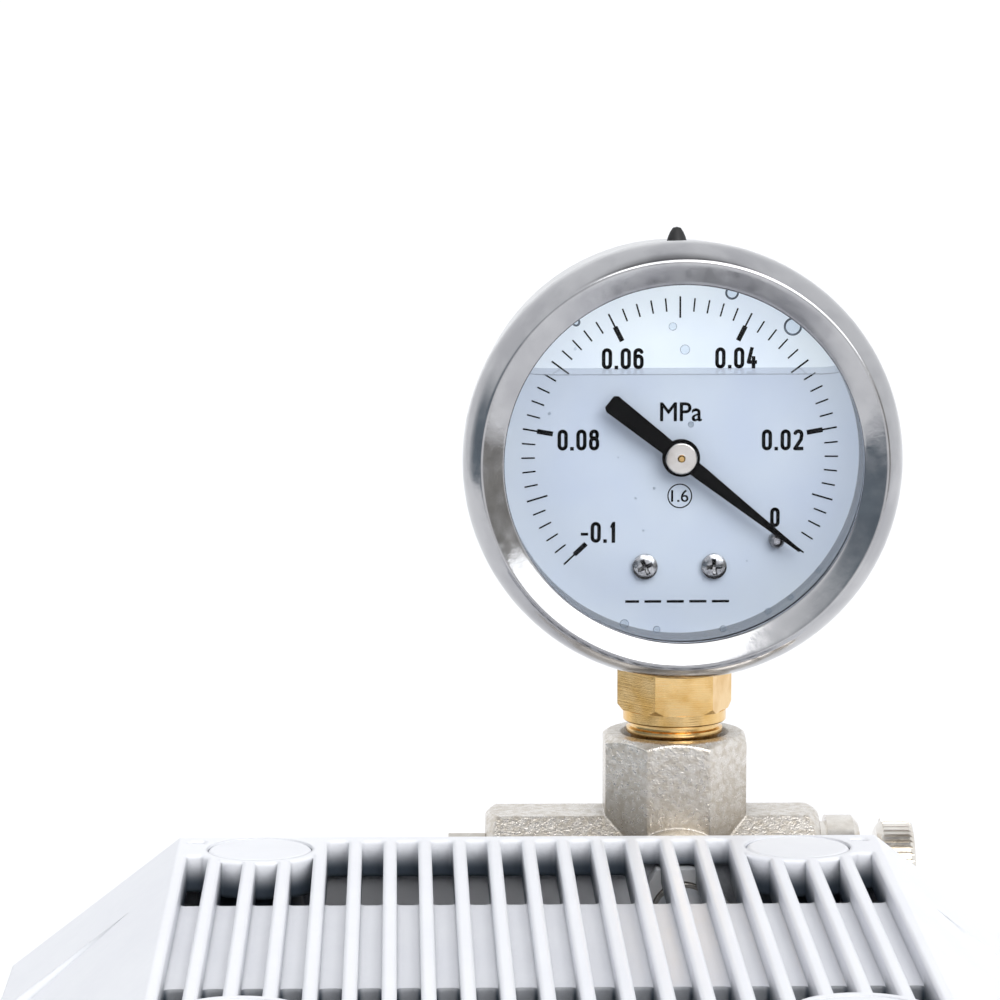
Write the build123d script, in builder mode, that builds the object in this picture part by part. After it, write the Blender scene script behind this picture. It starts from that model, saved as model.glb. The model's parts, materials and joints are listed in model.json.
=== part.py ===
from build123d import *
import math
import os

os.makedirs("parts", exist_ok=True)

# ---------------------------------------------------------------------------
# Diaphragm vacuum pump.  Millimetres, +Z up, +X to the right, -Y is the front.
# Origin: centre of the bounding box at the underside of the rubber feet.
# ---------------------------------------------------------------------------

# housing
HALF_W = 80.0            # half width of the housing
DEPTH = 124.0            # front face to back face
Y_BACK = 48.95           # back face of the housing
Y_FRONT = Y_BACK - DEPTH
Y_MID = Y_BACK - DEPTH / 2
Z_TOP = 172.0            # plane of the rib tops
Z_SPLIT = 112.0          # joint between upper cover and lower housing
Z_BASE = 10.0            # underside of the base plate
WALL = 3.0
EDGE_R = 3.0
SHOULDER_X = 53.9        # where the flat top turns into the shoulder
SHOULDER_DROP = 20.1     # shoulder line meets the side plane this far down
SHOULDER_R = 21.8

# slatted field of the cover
SLOT_N = 20
SLOT_PITCH = 5.33
SLOT_W = 3.3
RIM = 5.0
RECESS = 3.2             # floor between the ribs, below the rib tops
PLATE_T = 5.7            # rib tops to the underside of the top plate
ROW_BACK = (5.0, 36.0)   # open row, distances from the back face
ROW_FRONT = (87.0, 119.0)
PLUG_X = 41.25
PLUG_BACK = 11.0         # plug axes, distances from the back face
PLUG_FRONT = 113.0
PLUG_R = 8.0
RING_R = 9.75

# cross fitting, gauge and valve
X_STEM = 23.9            # vertical axis of the gauge stem
Y_STEM = Y_BACK + 18.0
Z_RUN = Z_TOP - 11.3     # axis of the horizontal run
CROSS_AF = 22.4
CROSS_FLAT = 10.0
GAUGE_Z = Z_TOP + 58.1
GAUGE_YAW = 0.4          # the dial is turned this far towards +X
BEZEL_R = 34.0
WINDOW_R = 27.65
CASE_R = 32.3

# pump unit
X_ROD = 24.0             # plane of the connecting rod
Z_CRANK = 64.0
ECC = 3.0                # eccentricity of the crank pin
MOTOR_R = 35.0
Z_SEAT = 107.4           # diaphragm seat on the crankcase

LEFT = Plane.YZ          # sections square to the motor axis


def at_x(x):
    """Plane square to X at x, local x along +Y and local y along +Z."""
    return Plane(origin=(x, 0, 0), x_dir=(0, 1, 0), z_dir=(1, 0, 0))


def at_y(y):
    """Plane square to Y at y, normal towards -Y, local x along +X, local y along +Z."""
    return Plane(origin=(0, y, 0), x_dir=(1, 0, 0), z_dir=(0, -1, 0))


def at_z(z):
    return Plane.XY.offset(z)


def box_between(x0, x1, y0, y1, z0, z1, mode=Mode.ADD):
    """Axis-aligned block between two corners, added to the open part."""
    with Locations(((x0 + x1) / 2, (y0 + y1) / 2, (z0 + z1) / 2)):
        Box(x1 - x0, y1 - y0, z1 - z0, mode=mode)


def cover_profile(inset, z_low):
    """Half outline of the cover section as polygon points, inset from the outside."""
    drop = inset / math.cos(math.atan(SHOULDER_DROP / (HALF_W - SHOULDER_X)))
    slope = SHOULDER_DROP / (HALF_W - SHOULDER_X)
    z_cap = Z_TOP - (PLATE_T if inset else 0.0)
    x_cap = SHOULDER_X + (Z_TOP - z_cap - drop) / slope
    x_side = HALF_W - inset
    z_side = Z_TOP - slope * (x_side - SHOULDER_X) - drop
    return x_cap, z_cap, x_side, z_side, z_low


# ---------------------------------------------------------------------------
# Upper cover: slatted top, sloping shoulders, upright sides
# ---------------------------------------------------------------------------
plug_spots = [(sx * PLUG_X, Y_BACK - d) for sx in (-1, 1) for d in (PLUG_BACK, PLUG_FRONT)]

with BuildPart() as top_cover:
    xc, zc, xs, zs, zl = cover_profile(0.0, Z_SPLIT)
    with BuildSketch(at_y(Y_BACK)):
        with BuildLine():
            Polyline((-xc, zc), (xc, zc), (xs, zs), (xs, zl), (-xs, zl), (-xs, zs), close=True)
        make_face()
        fillet(vertices().filter_by(lambda v: abs(v.Z - zc) < 0.01), 4.5)
        fillet(vertices().filter_by(lambda v: abs(v.Z - zs) < 0.01), SHOULDER_R)
    extrude(amount=DEPTH)
    fillet(
        edges().filter_by(
            lambda e: (abs(e.center().Y - Y_BACK) < 0.01 or abs(e.center().Y - Y_FRONT) < 0.01)
            and e.center().Z > Z_SPLIT + 0.1
        ),
        EDGE_R,
    )
    # hollow inside
    xc, zc, xs, zs, zl = cover_profile(WALL, Z_SPLIT - 1)
    with BuildSketch(at_y(Y_BACK - WALL)):
        with BuildLine():
            Polyline((-xc, zc), (xc, zc), (xs, zs), (xs, zl), (-xs, zl), (-xs, zs), close=True)
        make_face()
        fillet(vertices().filter_by(lambda v: abs(v.Z - zs) < 0.01), SHOULDER_R - WALL)
    extrude(amount=DEPTH - 2 * WALL, mode=Mode.SUBTRACT)
    # relief over the nut of the suction nipple
    box_between(X_STEM - 8.5, X_STEM + 8.5, Y_BACK - 10.2, Y_BACK - WALL, Z_RUN - 5.0, Z_TOP - 4.0, Mode.SUBTRACT)
    # shallow grip panels on both shoulders, growing deeper downwards
    for s in (-1, 1):
        with BuildSketch(at_y(Y_BACK - 33.0)):
            with BuildLine():
                Polyline(
                    (s * 60.0, Z_TOP - 4.7), (s * 78.7, Z_TOP - 21.3), (s * 78.7, Z_TOP - 46.0),
                    (s * 80.6, Z_TOP - 50.0), (s * 90.0, Z_TOP - 50.0), (s * 90.0, Z_TOP - 4.7),
                    close=True,
                )
            make_face()
            fillet(vertices().filter_by(lambda v: abs(v.Z - (Z_TOP - 21.3)) < 0.01), 20.0)
        extrude(amount=57.0, mode=Mode.SUBTRACT)
    # tubes that lead to the cover screws
    with BuildSketch(at_z(Z_SPLIT)):
        with Locations(*plug_spots):
            Circle(6.6)
    extrude(amount=Z_TOP - 1.0 - Z_SPLIT)
    # shallow channels between the ribs
    ring_guard = [(sx * 41.0, Y_BACK - d) for sx in (-1, 1) for d in (5.0, 119.0)]
    web_guard = [(sx * 51.0, Y_BACK - d) for sx in (-1, 1) for d in (PLUG_BACK, PLUG_FRONT)]
    for depth, y_a, y_b in (
        (RECESS, RIM, DEPTH - RIM),
        (PLATE_T + 0.5, *ROW_BACK),
        (PLATE_T + 0.5, *ROW_FRONT),
    ):
        with BuildSketch(at_z(Z_TOP)):
            with Locations((0, Y_BACK - (y_a + y_b) / 2)):
                with GridLocations(SLOT_PITCH, 1, SLOT_N, 1):
                    RectangleRounded(SLOT_W, y_b - y_a, 0.9)
            with Locations(*plug_spots):
                Circle(RING_R, mode=Mode.SUBTRACT)
            with Locations(*ring_guard):
                Rectangle(18.0, 7.0, mode=Mode.SUBTRACT)
            with Locations(*web_guard):
                Rectangle(6.0, 8.5, mode=Mode.SUBTRACT)
        extrude(amount=-depth, mode=Mode.SUBTRACT)
    # seats for the plugs, screwdriver tubes and screw holes
    with BuildSketch(at_z(Z_TOP)):
        with Locations(*plug_spots):
            Circle(PLUG_R + 0.12)
    extrude(amount=-2.6, mode=Mode.SUBTRACT)
    with BuildSketch(at_z(Z_TOP)):
        with Locations(*plug_spots):
            Circle(4.8)
    extrude(amount=-(Z_TOP - Z_SPLIT - 5.0), mode=Mode.SUBTRACT)
    with BuildSketch(at_z(Z_SPLIT - 1)):
        with Locations(*plug_spots):
            Circle(2.2)
    extrude(amount=8.0, mode=Mode.SUBTRACT)
    # openings in the back wall for the suction and outlet nipples
    with BuildSketch(at_y(Y_BACK + 1)):
        with Locations((X_STEM, Z_RUN), (-16.0, 143.0)):
            Circle(5.05)
    extrude(amount=6.0, mode=Mode.SUBTRACT)
    # soft edges along the rib tops
    with BuildSketch(at_z(Z_TOP)):
        with Locations((0, Y_MID)):
            with GridLocations(SLOT_PITCH, 1, SLOT_N, 1):
                RectangleRounded(SLOT_W + 0.7, DEPTH - 2 * RIM + 0.7, 1.25)
        with Locations(*plug_spots):
            Circle(RING_R - 0.35, mode=Mode.SUBTRACT)
        with Locations(*ring_guard):
            Rectangle(17.3, 7.0, mode=Mode.SUBTRACT)
        with Locations(*web_guard):
            Rectangle(6.0, 7.8, mode=Mode.SUBTRACT)
    extrude(amount=-0.35, taper=45, mode=Mode.SUBTRACT)
top_cover.part.label = "top_cover"
export_step(top_cover.part, "parts/top_cover.step")

# ---------------------------------------------------------------------------
# Lower housing, base plate, feet, plugs and housing screws
# ---------------------------------------------------------------------------
SWITCH = (-12.0, 78.0)      # x, z on the front face
LAMP = (16.0, 78.0)
INLET = (0.0, 38.0)         # x, z of the power inlet on the back face

with BuildPart() as lower_housing:
    with BuildSketch(at_z(Z_BASE)):
        with Locations((0, Y_MID)):
            Rectangle(2 * HALF_W, DEPTH)
    extrude(amount=Z_SPLIT - Z_BASE)
    fillet(edges().filter_by(Axis.Z), EDGE_R)
    fillet(edges().filter_by(lambda e: abs(e.center().Z - Z_BASE) < 0.01), 1.2)
    box_between(-HALF_W + WALL, HALF_W - WALL, Y_FRONT + WALL, Y_BACK - WALL, Z_BASE + 2.5 + 2.5, Z_SPLIT + 1, Mode.SUBTRACT)
    box_between(-HALF_W + 7, HALF_W - 7, Y_FRONT + 7, Y_BACK - 7, Z_BASE - 1, Z_BASE + 8, Mode.SUBTRACT)
    box_between(-HALF_W + WALL, HALF_W - WALL, Y_FRONT + WALL, Y_BACK - WALL, Z_BASE - 1, Z_BASE + 2.5, Mode.SUBTRACT)
    # four screw posts, tied to the front and back walls
    with BuildSketch(at_z(Z_BASE + 2.5)):
        with Locations(*plug_spots):
            Circle(5.6)
        for sx in (-1, 1):
            with Locations((sx * PLUG_X, Y_BACK - 6.5), (sx * PLUG_X, Y_FRONT + 6.5)):
                Rectangle(4.0, 9.0)
    extrude(amount=Z_SPLIT - Z_BASE - 2.5)
    with BuildSketch(at_z(Z_SPLIT)):
        with Locations(*plug_spots):
            Circle(1.9)
    extrude(amount=-22.0, mode=Mode.SUBTRACT)
    with BuildSketch(at_z(Z_BASE)):
        with Locations(*plug_spots):
            Circle(1.9)
    extrude(amount=18.0, mode=Mode.SUBTRACT)
    # cooling slots in both sides
    with BuildSketch(Plane.YZ.offset(-HALF_W - 1)):
        with Locations((Y_MID, 62.0)):
            with GridLocations(8.0, 1, 9, 1):
                SlotOverall(44.0, 3.2, rotation=90)
    extrude(amount=2 * HALF_W + 2, mode=Mode.SUBTRACT)
    # panel cut-outs: switch and lamp in front, power inlet at the back
    with BuildSketch(at_y(Y_FRONT + WALL + 1)):
        with Locations(SWITCH):
            Rectangle(13.0, 19.2)
        with Locations(LAMP):
            Circle(5.05)
    extrude(amount=WALL + 2, mode=Mode.SUBTRACT)
    with BuildSketch(at_y(Y_BACK + 1)):
        with Locations(INLET):
            Rectangle(28.0, 20.8)
    extrude(amount=WALL + 2, mode=Mode.SUBTRACT)
lower_housing.part.label = "lower_housing"
export_step(lower_housing.part, "parts/lower_housing.step")

FOOT_X, FOOT_Y = 60.0, 42.0
foot_spots = [(sx * FOOT_X, Y_MID + sy * FOOT_Y) for sx in (-1, 1) for sy in (-1, 1)]
iso_spots = [(x, Y_MID + sy * 28.0) for x in (-50.0, -4.0) for sy in (-1, 1)]
BOLT_X, BOLT_Y = 65.0, 24.0
bolt_spots = [(sx * BOLT_X, Y_MID + sy * BOLT_Y) for sx in (-1, 1) for sy in (-1, 1)]
with BuildPart() as base_plate:
    with BuildSketch(at_z(Z_BASE)):
        with Locations((0, Y_MID)):
            RectangleRounded(2 * (HALF_W - WALL) - 0.4, DEPTH - 2 * WALL - 0.4, 1.5)
        with Locations(*plug_spots):
            Circle(2.25, mode=Mode.SUBTRACT)
        with Locations(*foot_spots):
            Circle(2.25, mode=Mode.SUBTRACT)
        with Locations(*iso_spots):
            Circle(2.25, mode=Mode.SUBTRACT)
        with Locations(*bolt_spots):
            Circle(2.75, mode=Mode.SUBTRACT)
        with Locations((34.0, Y_MID)):
            with GridLocations(8.0, 1, 5, 1):
                SlotOverall(46.0, 3.6, rotation=90, mode=Mode.SUBTRACT)
    extrude(amount=2.5)
base_plate.part.label = "base_plate"
export_step(base_plate.part, "parts/base_plate.step")

with BuildPart() as rubber_feet:
    with BuildSketch(Plane.XZ):
        with BuildLine():
            Polyline((0, 2.0), (4.4, 2.0), (4.4, 0.0), (9.4, 0.0), (10.0, 0.8), (10.0, 8.6), (9.0, 10.0), (2.2, 10.0), (2.2, 12.6), (3.4, 12.9), (2.0, 16.0), (0, 16.0), close=True)
        make_face()
    revolve(axis=Axis.Z)
foot_one = rubber_feet.part
with BuildPart() as feet_group:
    with Locations(*[(x, y, 0) for x, y in foot_spots]):
        add(foot_one)
feet_group.part.label = "rubber_feet"
export_step(feet_group.part, "parts/rubber_feet.step")


def pan_screw(r_head, h_head, r_shank, length):
    """Half section of a pan-head screw, underside of the head at height 0."""
    return [
        (0, -length), (r_shank, -length), (r_shank, 0), (r_head, 0),
        (r_head, h_head * 0.55), (r_head * 0.8, h_head), (0, h_head),
    ]



with BuildPart() as plug_one:
    with BuildSketch(Plane.XZ):
        with BuildLine():
            Polyline(
                (0, Z_TOP - 2.5), (3.6, Z_TOP - 2.5), (3.6, Z_TOP - 8.0), (4.5, Z_TOP - 8.0),
                (4.6, Z_TOP - 2.5), (PLUG_R, Z_TOP - 2.5), (PLUG_R, Z_TOP - 0.5),
                (PLUG_R - 0.5, Z_TOP - 0.03), (0, Z_TOP + 0.0), close=True,
            )
        make_face()
    revolve(axis=Axis.Z)
with BuildPart() as cover_plugs:
    with Locations(*[(x, y, 0) for x, y in plug_spots]):
        add(plug_one.part)
cover_plugs.part.label = "cover_plugs"
export_step(cover_plugs.part, "parts/cover_plugs.step")

with BuildPart() as cover_screw_one:
    with BuildSketch(Plane.XZ):
        with BuildLine():
            Polyline(*pan_screw(3.6, 2.4, 1.9, 22.0), close=True)
        make_face()
    revolve(axis=Axis.Z)
with BuildPart() as cover_screws:
    with Locations(*[(x, y, Z_SPLIT + 5.0) for x, y in plug_spots]):
        add(cover_screw_one.part)
cover_screws.part.label = "cover_screws"
export_step(cover_screws.part, "parts/cover_screws.step")

with BuildPart() as base_screw_one:
    with BuildSketch(Plane.XZ):
        with BuildLine():
            Polyline((0, -2.2), (2.9, -2.2), (3.6, -1.2), (3.6, 0), (1.9, 0), (1.9, 15.0), (0, 15.0), close=True)
        make_face()
    revolve(axis=Axis.Z)
with BuildPart() as base_screws:
    with Locations(*[(x, y, Z_BASE) for x, y in plug_spots]):
        add(base_screw_one.part)
base_screws.part.label = "base_screws"
export_step(base_screws.part, "parts/base_screws.step")

# ---------------------------------------------------------------------------
# Power switch, indicator lamp and power inlet
# ---------------------------------------------------------------------------
SW_X, SW_Z = SWITCH
SW_PIVOT_Y = Y_FRONT - 0.2        # rocker axis, just behind the bezel face
with BuildPart() as switch_body:
    box_between(SW_X - 7.6, SW_X + 7.6, Y_FRONT - 2.0, Y_FRONT, SW_Z - 10.6, SW_Z + 10.6)
    fillet(edges().filter_by(Axis.Y), 1.2)
    box_between(SW_X - 6.4, SW_X + 6.4, Y_FRONT, Y_FRONT + 17.0, SW_Z - 9.4, SW_Z + 9.4)
    for dz in (-5.0, 5.0):
        box_between(SW_X - 2.4, SW_X + 2.4, Y_FRONT + 17.0, Y_FRONT + 25.0, SW_Z + dz - 0.4, SW_Z + dz + 0.4)
    box_between(SW_X - 5.5, SW_X + 5.5, Y_FRONT - 3.0, Y_FRONT + 9.0, SW_Z - 8.15, SW_Z + 8.15, Mode.SUBTRACT)
    with BuildSketch(at_x(SW_X - 6.2)):
        with Locations((SW_PIVOT_Y, SW_Z)):
            Circle(1.05)
    extrude(amount=12.4, mode=Mode.SUBTRACT)
switch_body.part.label = "switch_body"
export_step(switch_body.part, "parts/switch_body.step")

ROCK = math.radians(9.0)
rock_pts = [(7.85, -4.0), (7.85, 4.6), (0.0, 3.0), (-7.85, 4.6), (-7.85, -4.0), (-3.0, -6.5), (3.0, -6.5)]
rock_yz = [
    (
        SW_PIVOT_Y - (u * math.cos(ROCK) - v * math.sin(ROCK)),
        SW_Z + (v * math.cos(ROCK) + u * math.sin(ROCK)),
    )
    for v, u in rock_pts
]
with BuildPart() as switch_rocker:
    with BuildSketch(at_x(SW_X - 5.2)):
        with BuildLine():
            Polyline(*rock_yz, close=True)
        make_face()
    extrude(amount=10.4)
    with BuildSketch(at_x(SW_X - 5.2)):
        with Locations((SW_PIVOT_Y, SW_Z)):
            Circle(7.95)
    extrude(amount=10.4, mode=Mode.INTERSECT)
    with BuildSketch(at_x(SW_X - 6.1)):
        with Locations((SW_PIVOT_Y, SW_Z)):
            Circle(1.0)
    extrude(amount=12.2)
switch_rocker.part.label = "switch_rocker"
export_step(switch_rocker.part, "parts/switch_rocker.step")

with BuildPart() as indicator_lamp:
    with BuildSketch(Plane(origin=(LAMP[0], Y_FRONT, LAMP[1]), x_dir=(1, 0, 0), z_dir=(0, 0, 1))):
        with BuildLine():
            Polyline(
                (0, -3.5), (1.6, -3.3), (3.0, -2.8), (4.3, -1.6), (5.9, -1.6), (6.5, -1.0),
                (6.5, 0), (4.9, 0), (4.9, 20.0), (0, 20.0), close=True,
            )
        make_face()
    revolve(axis=Axis((LAMP[0], 0, LAMP[1]), (0, 1, 0)))
indicator_lamp.part.label = "indicator_lamp"
export_step(indicator_lamp.part, "parts/indicator_lamp.step")

IX, IZ = INLET
with BuildPart() as power_inlet:
    with BuildSketch(at_y(Y_BACK + 2.6)):
        with Locations((IX, IZ)):
            RectangleRounded(34.0, 27.0, 3.0)
    extrude(amount=2.6)
    box_between(IX - 13.7, IX + 13.7, Y_BACK - 17.0, Y_BACK, IZ - 10.1, IZ + 10.1)
    with BuildSketch(Plane(origin=(IX, Y_BACK + 3.0, IZ), x_dir=(1, 0, 0), z_dir=(0, -1, 0))):
        with BuildLine():
            Polyline(
                (-12.2, -8.3), (12.2, -8.3), (12.2, 3.8), (7.7, 8.3), (-7.7, 8.3), (-12.2, 3.8), close=True,
            )
        make_face()
    extrude(amount=18.0, mode=Mode.SUBTRACT)
    for dx, dz in ((-7.0, -2.0), (7.0, -2.0), (0.0, 2.0)):
        box_between(IX + dx - 1.0, IX + dx + 1.0, Y_BACK - 18.0, Y_BACK - 14.0, IZ + dz - 2.0, IZ + dz + 2.0, Mode.SUBTRACT)
power_inlet.part.label = "power_inlet"
export_step(power_inlet.part, "parts/power_inlet.step")

with BuildPart() as inlet_pins:
    for dx, dz in ((-7.0, -2.0), (7.0, -2.0), (0.0, 2.0)):
        box_between(IX + dx - 1.0, IX + dx + 1.0, Y_BACK - 25.0, Y_BACK + 0.5, IZ + dz - 2.0, IZ + dz + 2.0)
    chamfer(edges().filter_by(lambda e: abs(e.center().Y - (Y_BACK + 0.5)) < 0.01), 0.5)
inlet_pins.part.label = "inlet_pins"
export_step(inlet_pins.part, "parts/inlet_pins.step")


# ---------------------------------------------------------------------------
# Cross fitting behind the cover: left, right, up and forward ports
# ---------------------------------------------------------------------------
RUN_L, RUN_R, UP_H = 30.0, 23.0, 23.9
half, flat = CROSS_AF / 2, CROSS_FLAT / 2
octagon = [
    (flat, half), (-flat, half), (-half, flat), (-half, -flat),
    (-flat, -half), (flat, -half), (half, -flat), (half, flat),
]
with BuildPart() as up_arm:
    with BuildSketch(Plane(origin=(X_STEM, Y_STEM, Z_RUN))):
        with BuildLine():
            Polyline(*octagon, close=True)
        make_face()
    extrude(amount=UP_H)
    with BuildSketch(Plane(origin=(X_STEM, Y_STEM, Z_RUN), x_dir=(1, 0, 0), z_dir=(0, -1, 0))):
        with BuildLine():
            Polyline((10.8, UP_H + 1), (10.8, UP_H), (13.0, UP_H - 1.6), (15, UP_H - 1.6), (15, UP_H + 1), close=True)
        make_face()
    revolve(axis=Axis((X_STEM, Y_STEM, 0), (0, 0, 1)), mode=Mode.SUBTRACT)
with BuildPart() as cross_fitting:
    with BuildSketch(Plane(origin=(X_STEM - RUN_L, Y_STEM, Z_RUN), x_dir=(0, 1, 0), z_dir=(1, 0, 0))):
        with BuildLine():
            Polyline(*octagon, close=True)
        make_face()
    extrude(amount=RUN_L + RUN_R)
    # turned chamfers on the run ends
    for x_end, s in ((X_STEM - RUN_L, 1), (X_STEM + RUN_R, -1)):
        with BuildSketch(Plane(origin=(0, Y_STEM, Z_RUN), x_dir=(1, 0, 0), z_dir=(0, -1, 0))):
            with BuildLine():
                Polyline((x_end - s * 1, 10.6), (x_end, 10.6), (x_end + s * 2.2, 12.8), (x_end + s * 2.2, 15), (x_end - s * 1, 15), close=True)
            make_face()
        revolve(axis=Axis((0, Y_STEM, Z_RUN), (1, 0, 0)), mode=Mode.SUBTRACT)
    add(up_arm.part)
    # forward port reaching the housing wall
    with BuildSketch(at_y(Y_STEM)):
        with Locations((X_STEM, Z_RUN)):
            Circle(10.3)
    extrude(amount=18.0)
    # bores
    with BuildSketch(at_x(X_STEM - RUN_L - 1)):
        with Locations((Y_STEM, Z_RUN)):
            Circle(4.9)
    extrude(amount=RUN_L + 1, mode=Mode.SUBTRACT)
    with BuildSketch(at_x(X_STEM)):
        with Locations((Y_STEM, Z_RUN)):
            Circle(4.9)
    extrude(amount=11.0, mode=Mode.SUBTRACT)
    with BuildSketch(at_x(X_STEM + 10.5)):
        with Locations((Y_STEM, Z_RUN)):
            Circle(6.55)
    extrude(amount=14.0, mode=Mode.SUBTRACT)
    with BuildSketch(at_y(Y_STEM)):
        with Locations((X_STEM, Z_RUN)):
            Circle(4.9)
    extrude(amount=19.0, mode=Mode.SUBTRACT)
    with BuildSketch(Plane(origin=(X_STEM, Y_STEM, Z_RUN), x_dir=(1, 0, 0), z_dir=(0, -1, 0))):
        with BuildLine():
            Polyline((0, 0), (4.9, 0), (4.9, 10.0), (7.05, 12.0), (7.05, UP_H - 1.6), (8.6, UP_H), (8.6, UP_H + 1), (0, UP_H + 1), close=True)
        make_face()
    revolve(axis=Axis((X_STEM, Y_STEM, 0), (0, 0, 1)), mode=Mode.SUBTRACT)
cross_fitting.part.label = "cross_fitting"
export_step(cross_fitting.part, "parts/cross_fitting.step")

# hose barb in the left port; its plain outer end takes an 8 mm hose
with BuildPart() as inlet_barb:
    with BuildSketch(Plane(origin=(X_STEM - RUN_L, Y_STEM, Z_RUN), x_dir=(-1, 0, 0), z_dir=(0, 1, 0))):
        with BuildLine():
            Polyline(
                (-9.0, 2.6), (-9.0, 4.85), (0, 4.85), (0, 5.5), (6.0, 5.5), (6.0, 4.0), (8.0, 4.0),
                (9.0, 4.7), (11.5, 4.0), (12.5, 4.7), (15.0, 4.0), (24.0, 4.0), (25.0, 3.3), (25.0, 2.6), close=True,
            )
        make_face()
    revolve(axis=Axis((0, Y_STEM, Z_RUN), (1, 0, 0)))
    with BuildSketch(at_x(X_STEM - RUN_L - 6.0)):
        with Locations((Y_STEM, Z_RUN)):
            RegularPolygon(6.5, 6, major_radius=False, rotation=30)
            Circle(5.0, mode=Mode.SUBTRACT)
    extrude(amount=6.0)
inlet_barb.part.label = "inlet_barb"
export_step(inlet_barb.part, "parts/inlet_barb.step")

# ---------------------------------------------------------------------------
# Vacuum regulating valve in the right port
# ---------------------------------------------------------------------------
VX = X_STEM
with BuildPart() as valve_body:
    with BuildSketch(Plane(origin=(VX, Y_STEM, Z_RUN), x_dir=(1, 0, 0), z_dir=(0, -1, 0))):
        with BuildLine():
            Polyline(
                (12.0, 1.5), (14.4, 1.5), (15.4, 2.55), (29.4, 2.55), (29.4, 8.8), (28.4, 10.0),
                (24.2, 10.0), (24.2, 9.0), (23.05, 9.0), (23.05, 6.5), (12.0, 6.5), close=True,
            )
        make_face()
    revolve(axis=Axis((0, Y_STEM, Z_RUN), (1, 0, 0)))
    # air inlet holes around the body, behind the seat
    with BuildSketch(at_z(Z_RUN - 12.0)):
        with Locations((VX + 26.6, Y_STEM)):
            Circle(0.9)
    extrude(amount=10.5, mode=Mode.SUBTRACT)
valve_body.part.label = "valve_body"
export_step(valve_body.part, "parts/valve_body.step")

with BuildPart() as valve_needle:
    with BuildSketch(Plane(origin=(VX, Y_STEM, Z_RUN), x_dir=(1, 0, 0), z_dir=(0, -1, 0))):
        with BuildLine():
            Polyline(
                (16.4, 0), (16.4, 0.6), (19.4, 2.2), (22.0, 2.2), (22.0, 2.5), (32.2, 2.5),
                (32.2, 1.5), (37.0, 1.5), (37.0, 0), close=True,
            )
        make_face()
    revolve(axis=Axis((0, Y_STEM, Z_RUN), (1, 0, 0)))
valve_needle.part.label = "valve_needle"
export_step(valve_needle.part, "parts/valve_needle.step")

KNURL_N, KNOB_R = 51, 9.5
knurl = []
for i in range(KNURL_N):
    a0 = 2 * math.pi * i / KNURL_N
    p = 2 * math.pi / KNURL_N
    for f, r in ((-0.22, KNOB_R), (0.22, KNOB_R), (0.44, KNOB_R - 0.55), (0.56, KNOB_R - 0.55)):
        knurl.append((r * math.cos(a0 + f * p), r * math.sin(a0 + f * p)))
with BuildPart() as valve_knob:
    with BuildSketch(Plane(origin=(VX + 33.2, Y_STEM, Z_RUN), x_dir=(0, 1, 0), z_dir=(1, 0, 0))):
        with BuildLine():
            Polyline(*knurl, close=True)
        make_face()
    extrude(amount=4.8)
    with BuildSketch(Plane(origin=(VX, Y_STEM, Z_RUN), x_dir=(1, 0, 0), z_dir=(0, -1, 0))):
        with BuildLine():
            Polyline((37.0, 9.7), (38.2, 8.5), (38.2, 12), (37.0, 12), close=True)
        make_face()
    revolve(axis=Axis((0, Y_STEM, Z_RUN), (1, 0, 0)), mode=Mode.SUBTRACT)
    with BuildSketch(Plane(origin=(VX, Y_STEM, Z_RUN), x_dir=(1, 0, 0), z_dir=(0, -1, 0))):
        with BuildLine():
            Polyline((32.25, 0), (32.25, 7.9), (32.9, 8.8), (33.2, 8.8), (33.2, 0), close=True)
        make_face()
    revolve(axis=Axis((0, Y_STEM, Z_RUN), (1, 0, 0)))
    with BuildSketch(at_x(VX + 32.0)):
        with Locations((Y_STEM, Z_RUN)):
            Circle(1.55)
    extrude(amount=5.2, mode=Mode.SUBTRACT)
valve_knob.part.label = "valve_knob"
export_step(valve_knob.part, "parts/valve_knob.step")

# ---------------------------------------------------------------------------
# Dial gauge.  Local frame: x to the reader's right, y up, z out of the dial.
# ---------------------------------------------------------------------------
YAW = math.radians(GAUGE_YAW)
GX = (math.cos(YAW), math.sin(YAW), 0.0)
GN = (math.sin(YAW), -math.cos(YAW), 0.0)
G0 = (X_STEM, Y_STEM, GAUGE_Z)
gauge_axis = Axis(G0, GN)
gauge_section = Plane(origin=G0, x_dir=GX, z_dir=(0, 0, -1))   # local x radial, local y along the normal


def gauge_face(z=0.0):
    """Plane parallel to the dial, z in front of the stem axis."""
    return Plane(origin=G0, x_dir=GX, z_dir=GN).offset(z)


with BuildPart() as gauge_case:
    with BuildSketch(gauge_section):
        with BuildLine():
            Polyline(
                (0, -11.5), (29.6, -11.5), (30.9, -11.1), (31.9, -10.1), (CASE_R, -8.8), (CASE_R, 17.0),
                (31.4, 17.0), (31.4, -8.6), (31.1, -9.6), (30.3, -10.4), (29.4, -10.6), (0, -10.6), close=True,
            )
        make_face()
    revolve(axis=gauge_axis)
    # hole for the filling plug at the top, hole for the socket at the bottom
    with BuildSketch(at_z(GAUGE_Z + 28.0)):
        with Locations((X_STEM, Y_STEM)):
            Circle(4.05)
    extrude(amount=8.0, mode=Mode.SUBTRACT)
    with BuildSketch(at_z(GAUGE_Z - 36.0)):
        with Locations((X_STEM, Y_STEM)):
            Circle(8.05)
    extrude(amount=8.0, mode=Mode.SUBTRACT)
gauge_case.part.label = "gauge_case"
export_step(gauge_case.part, "parts/gauge_case.step")

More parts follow.
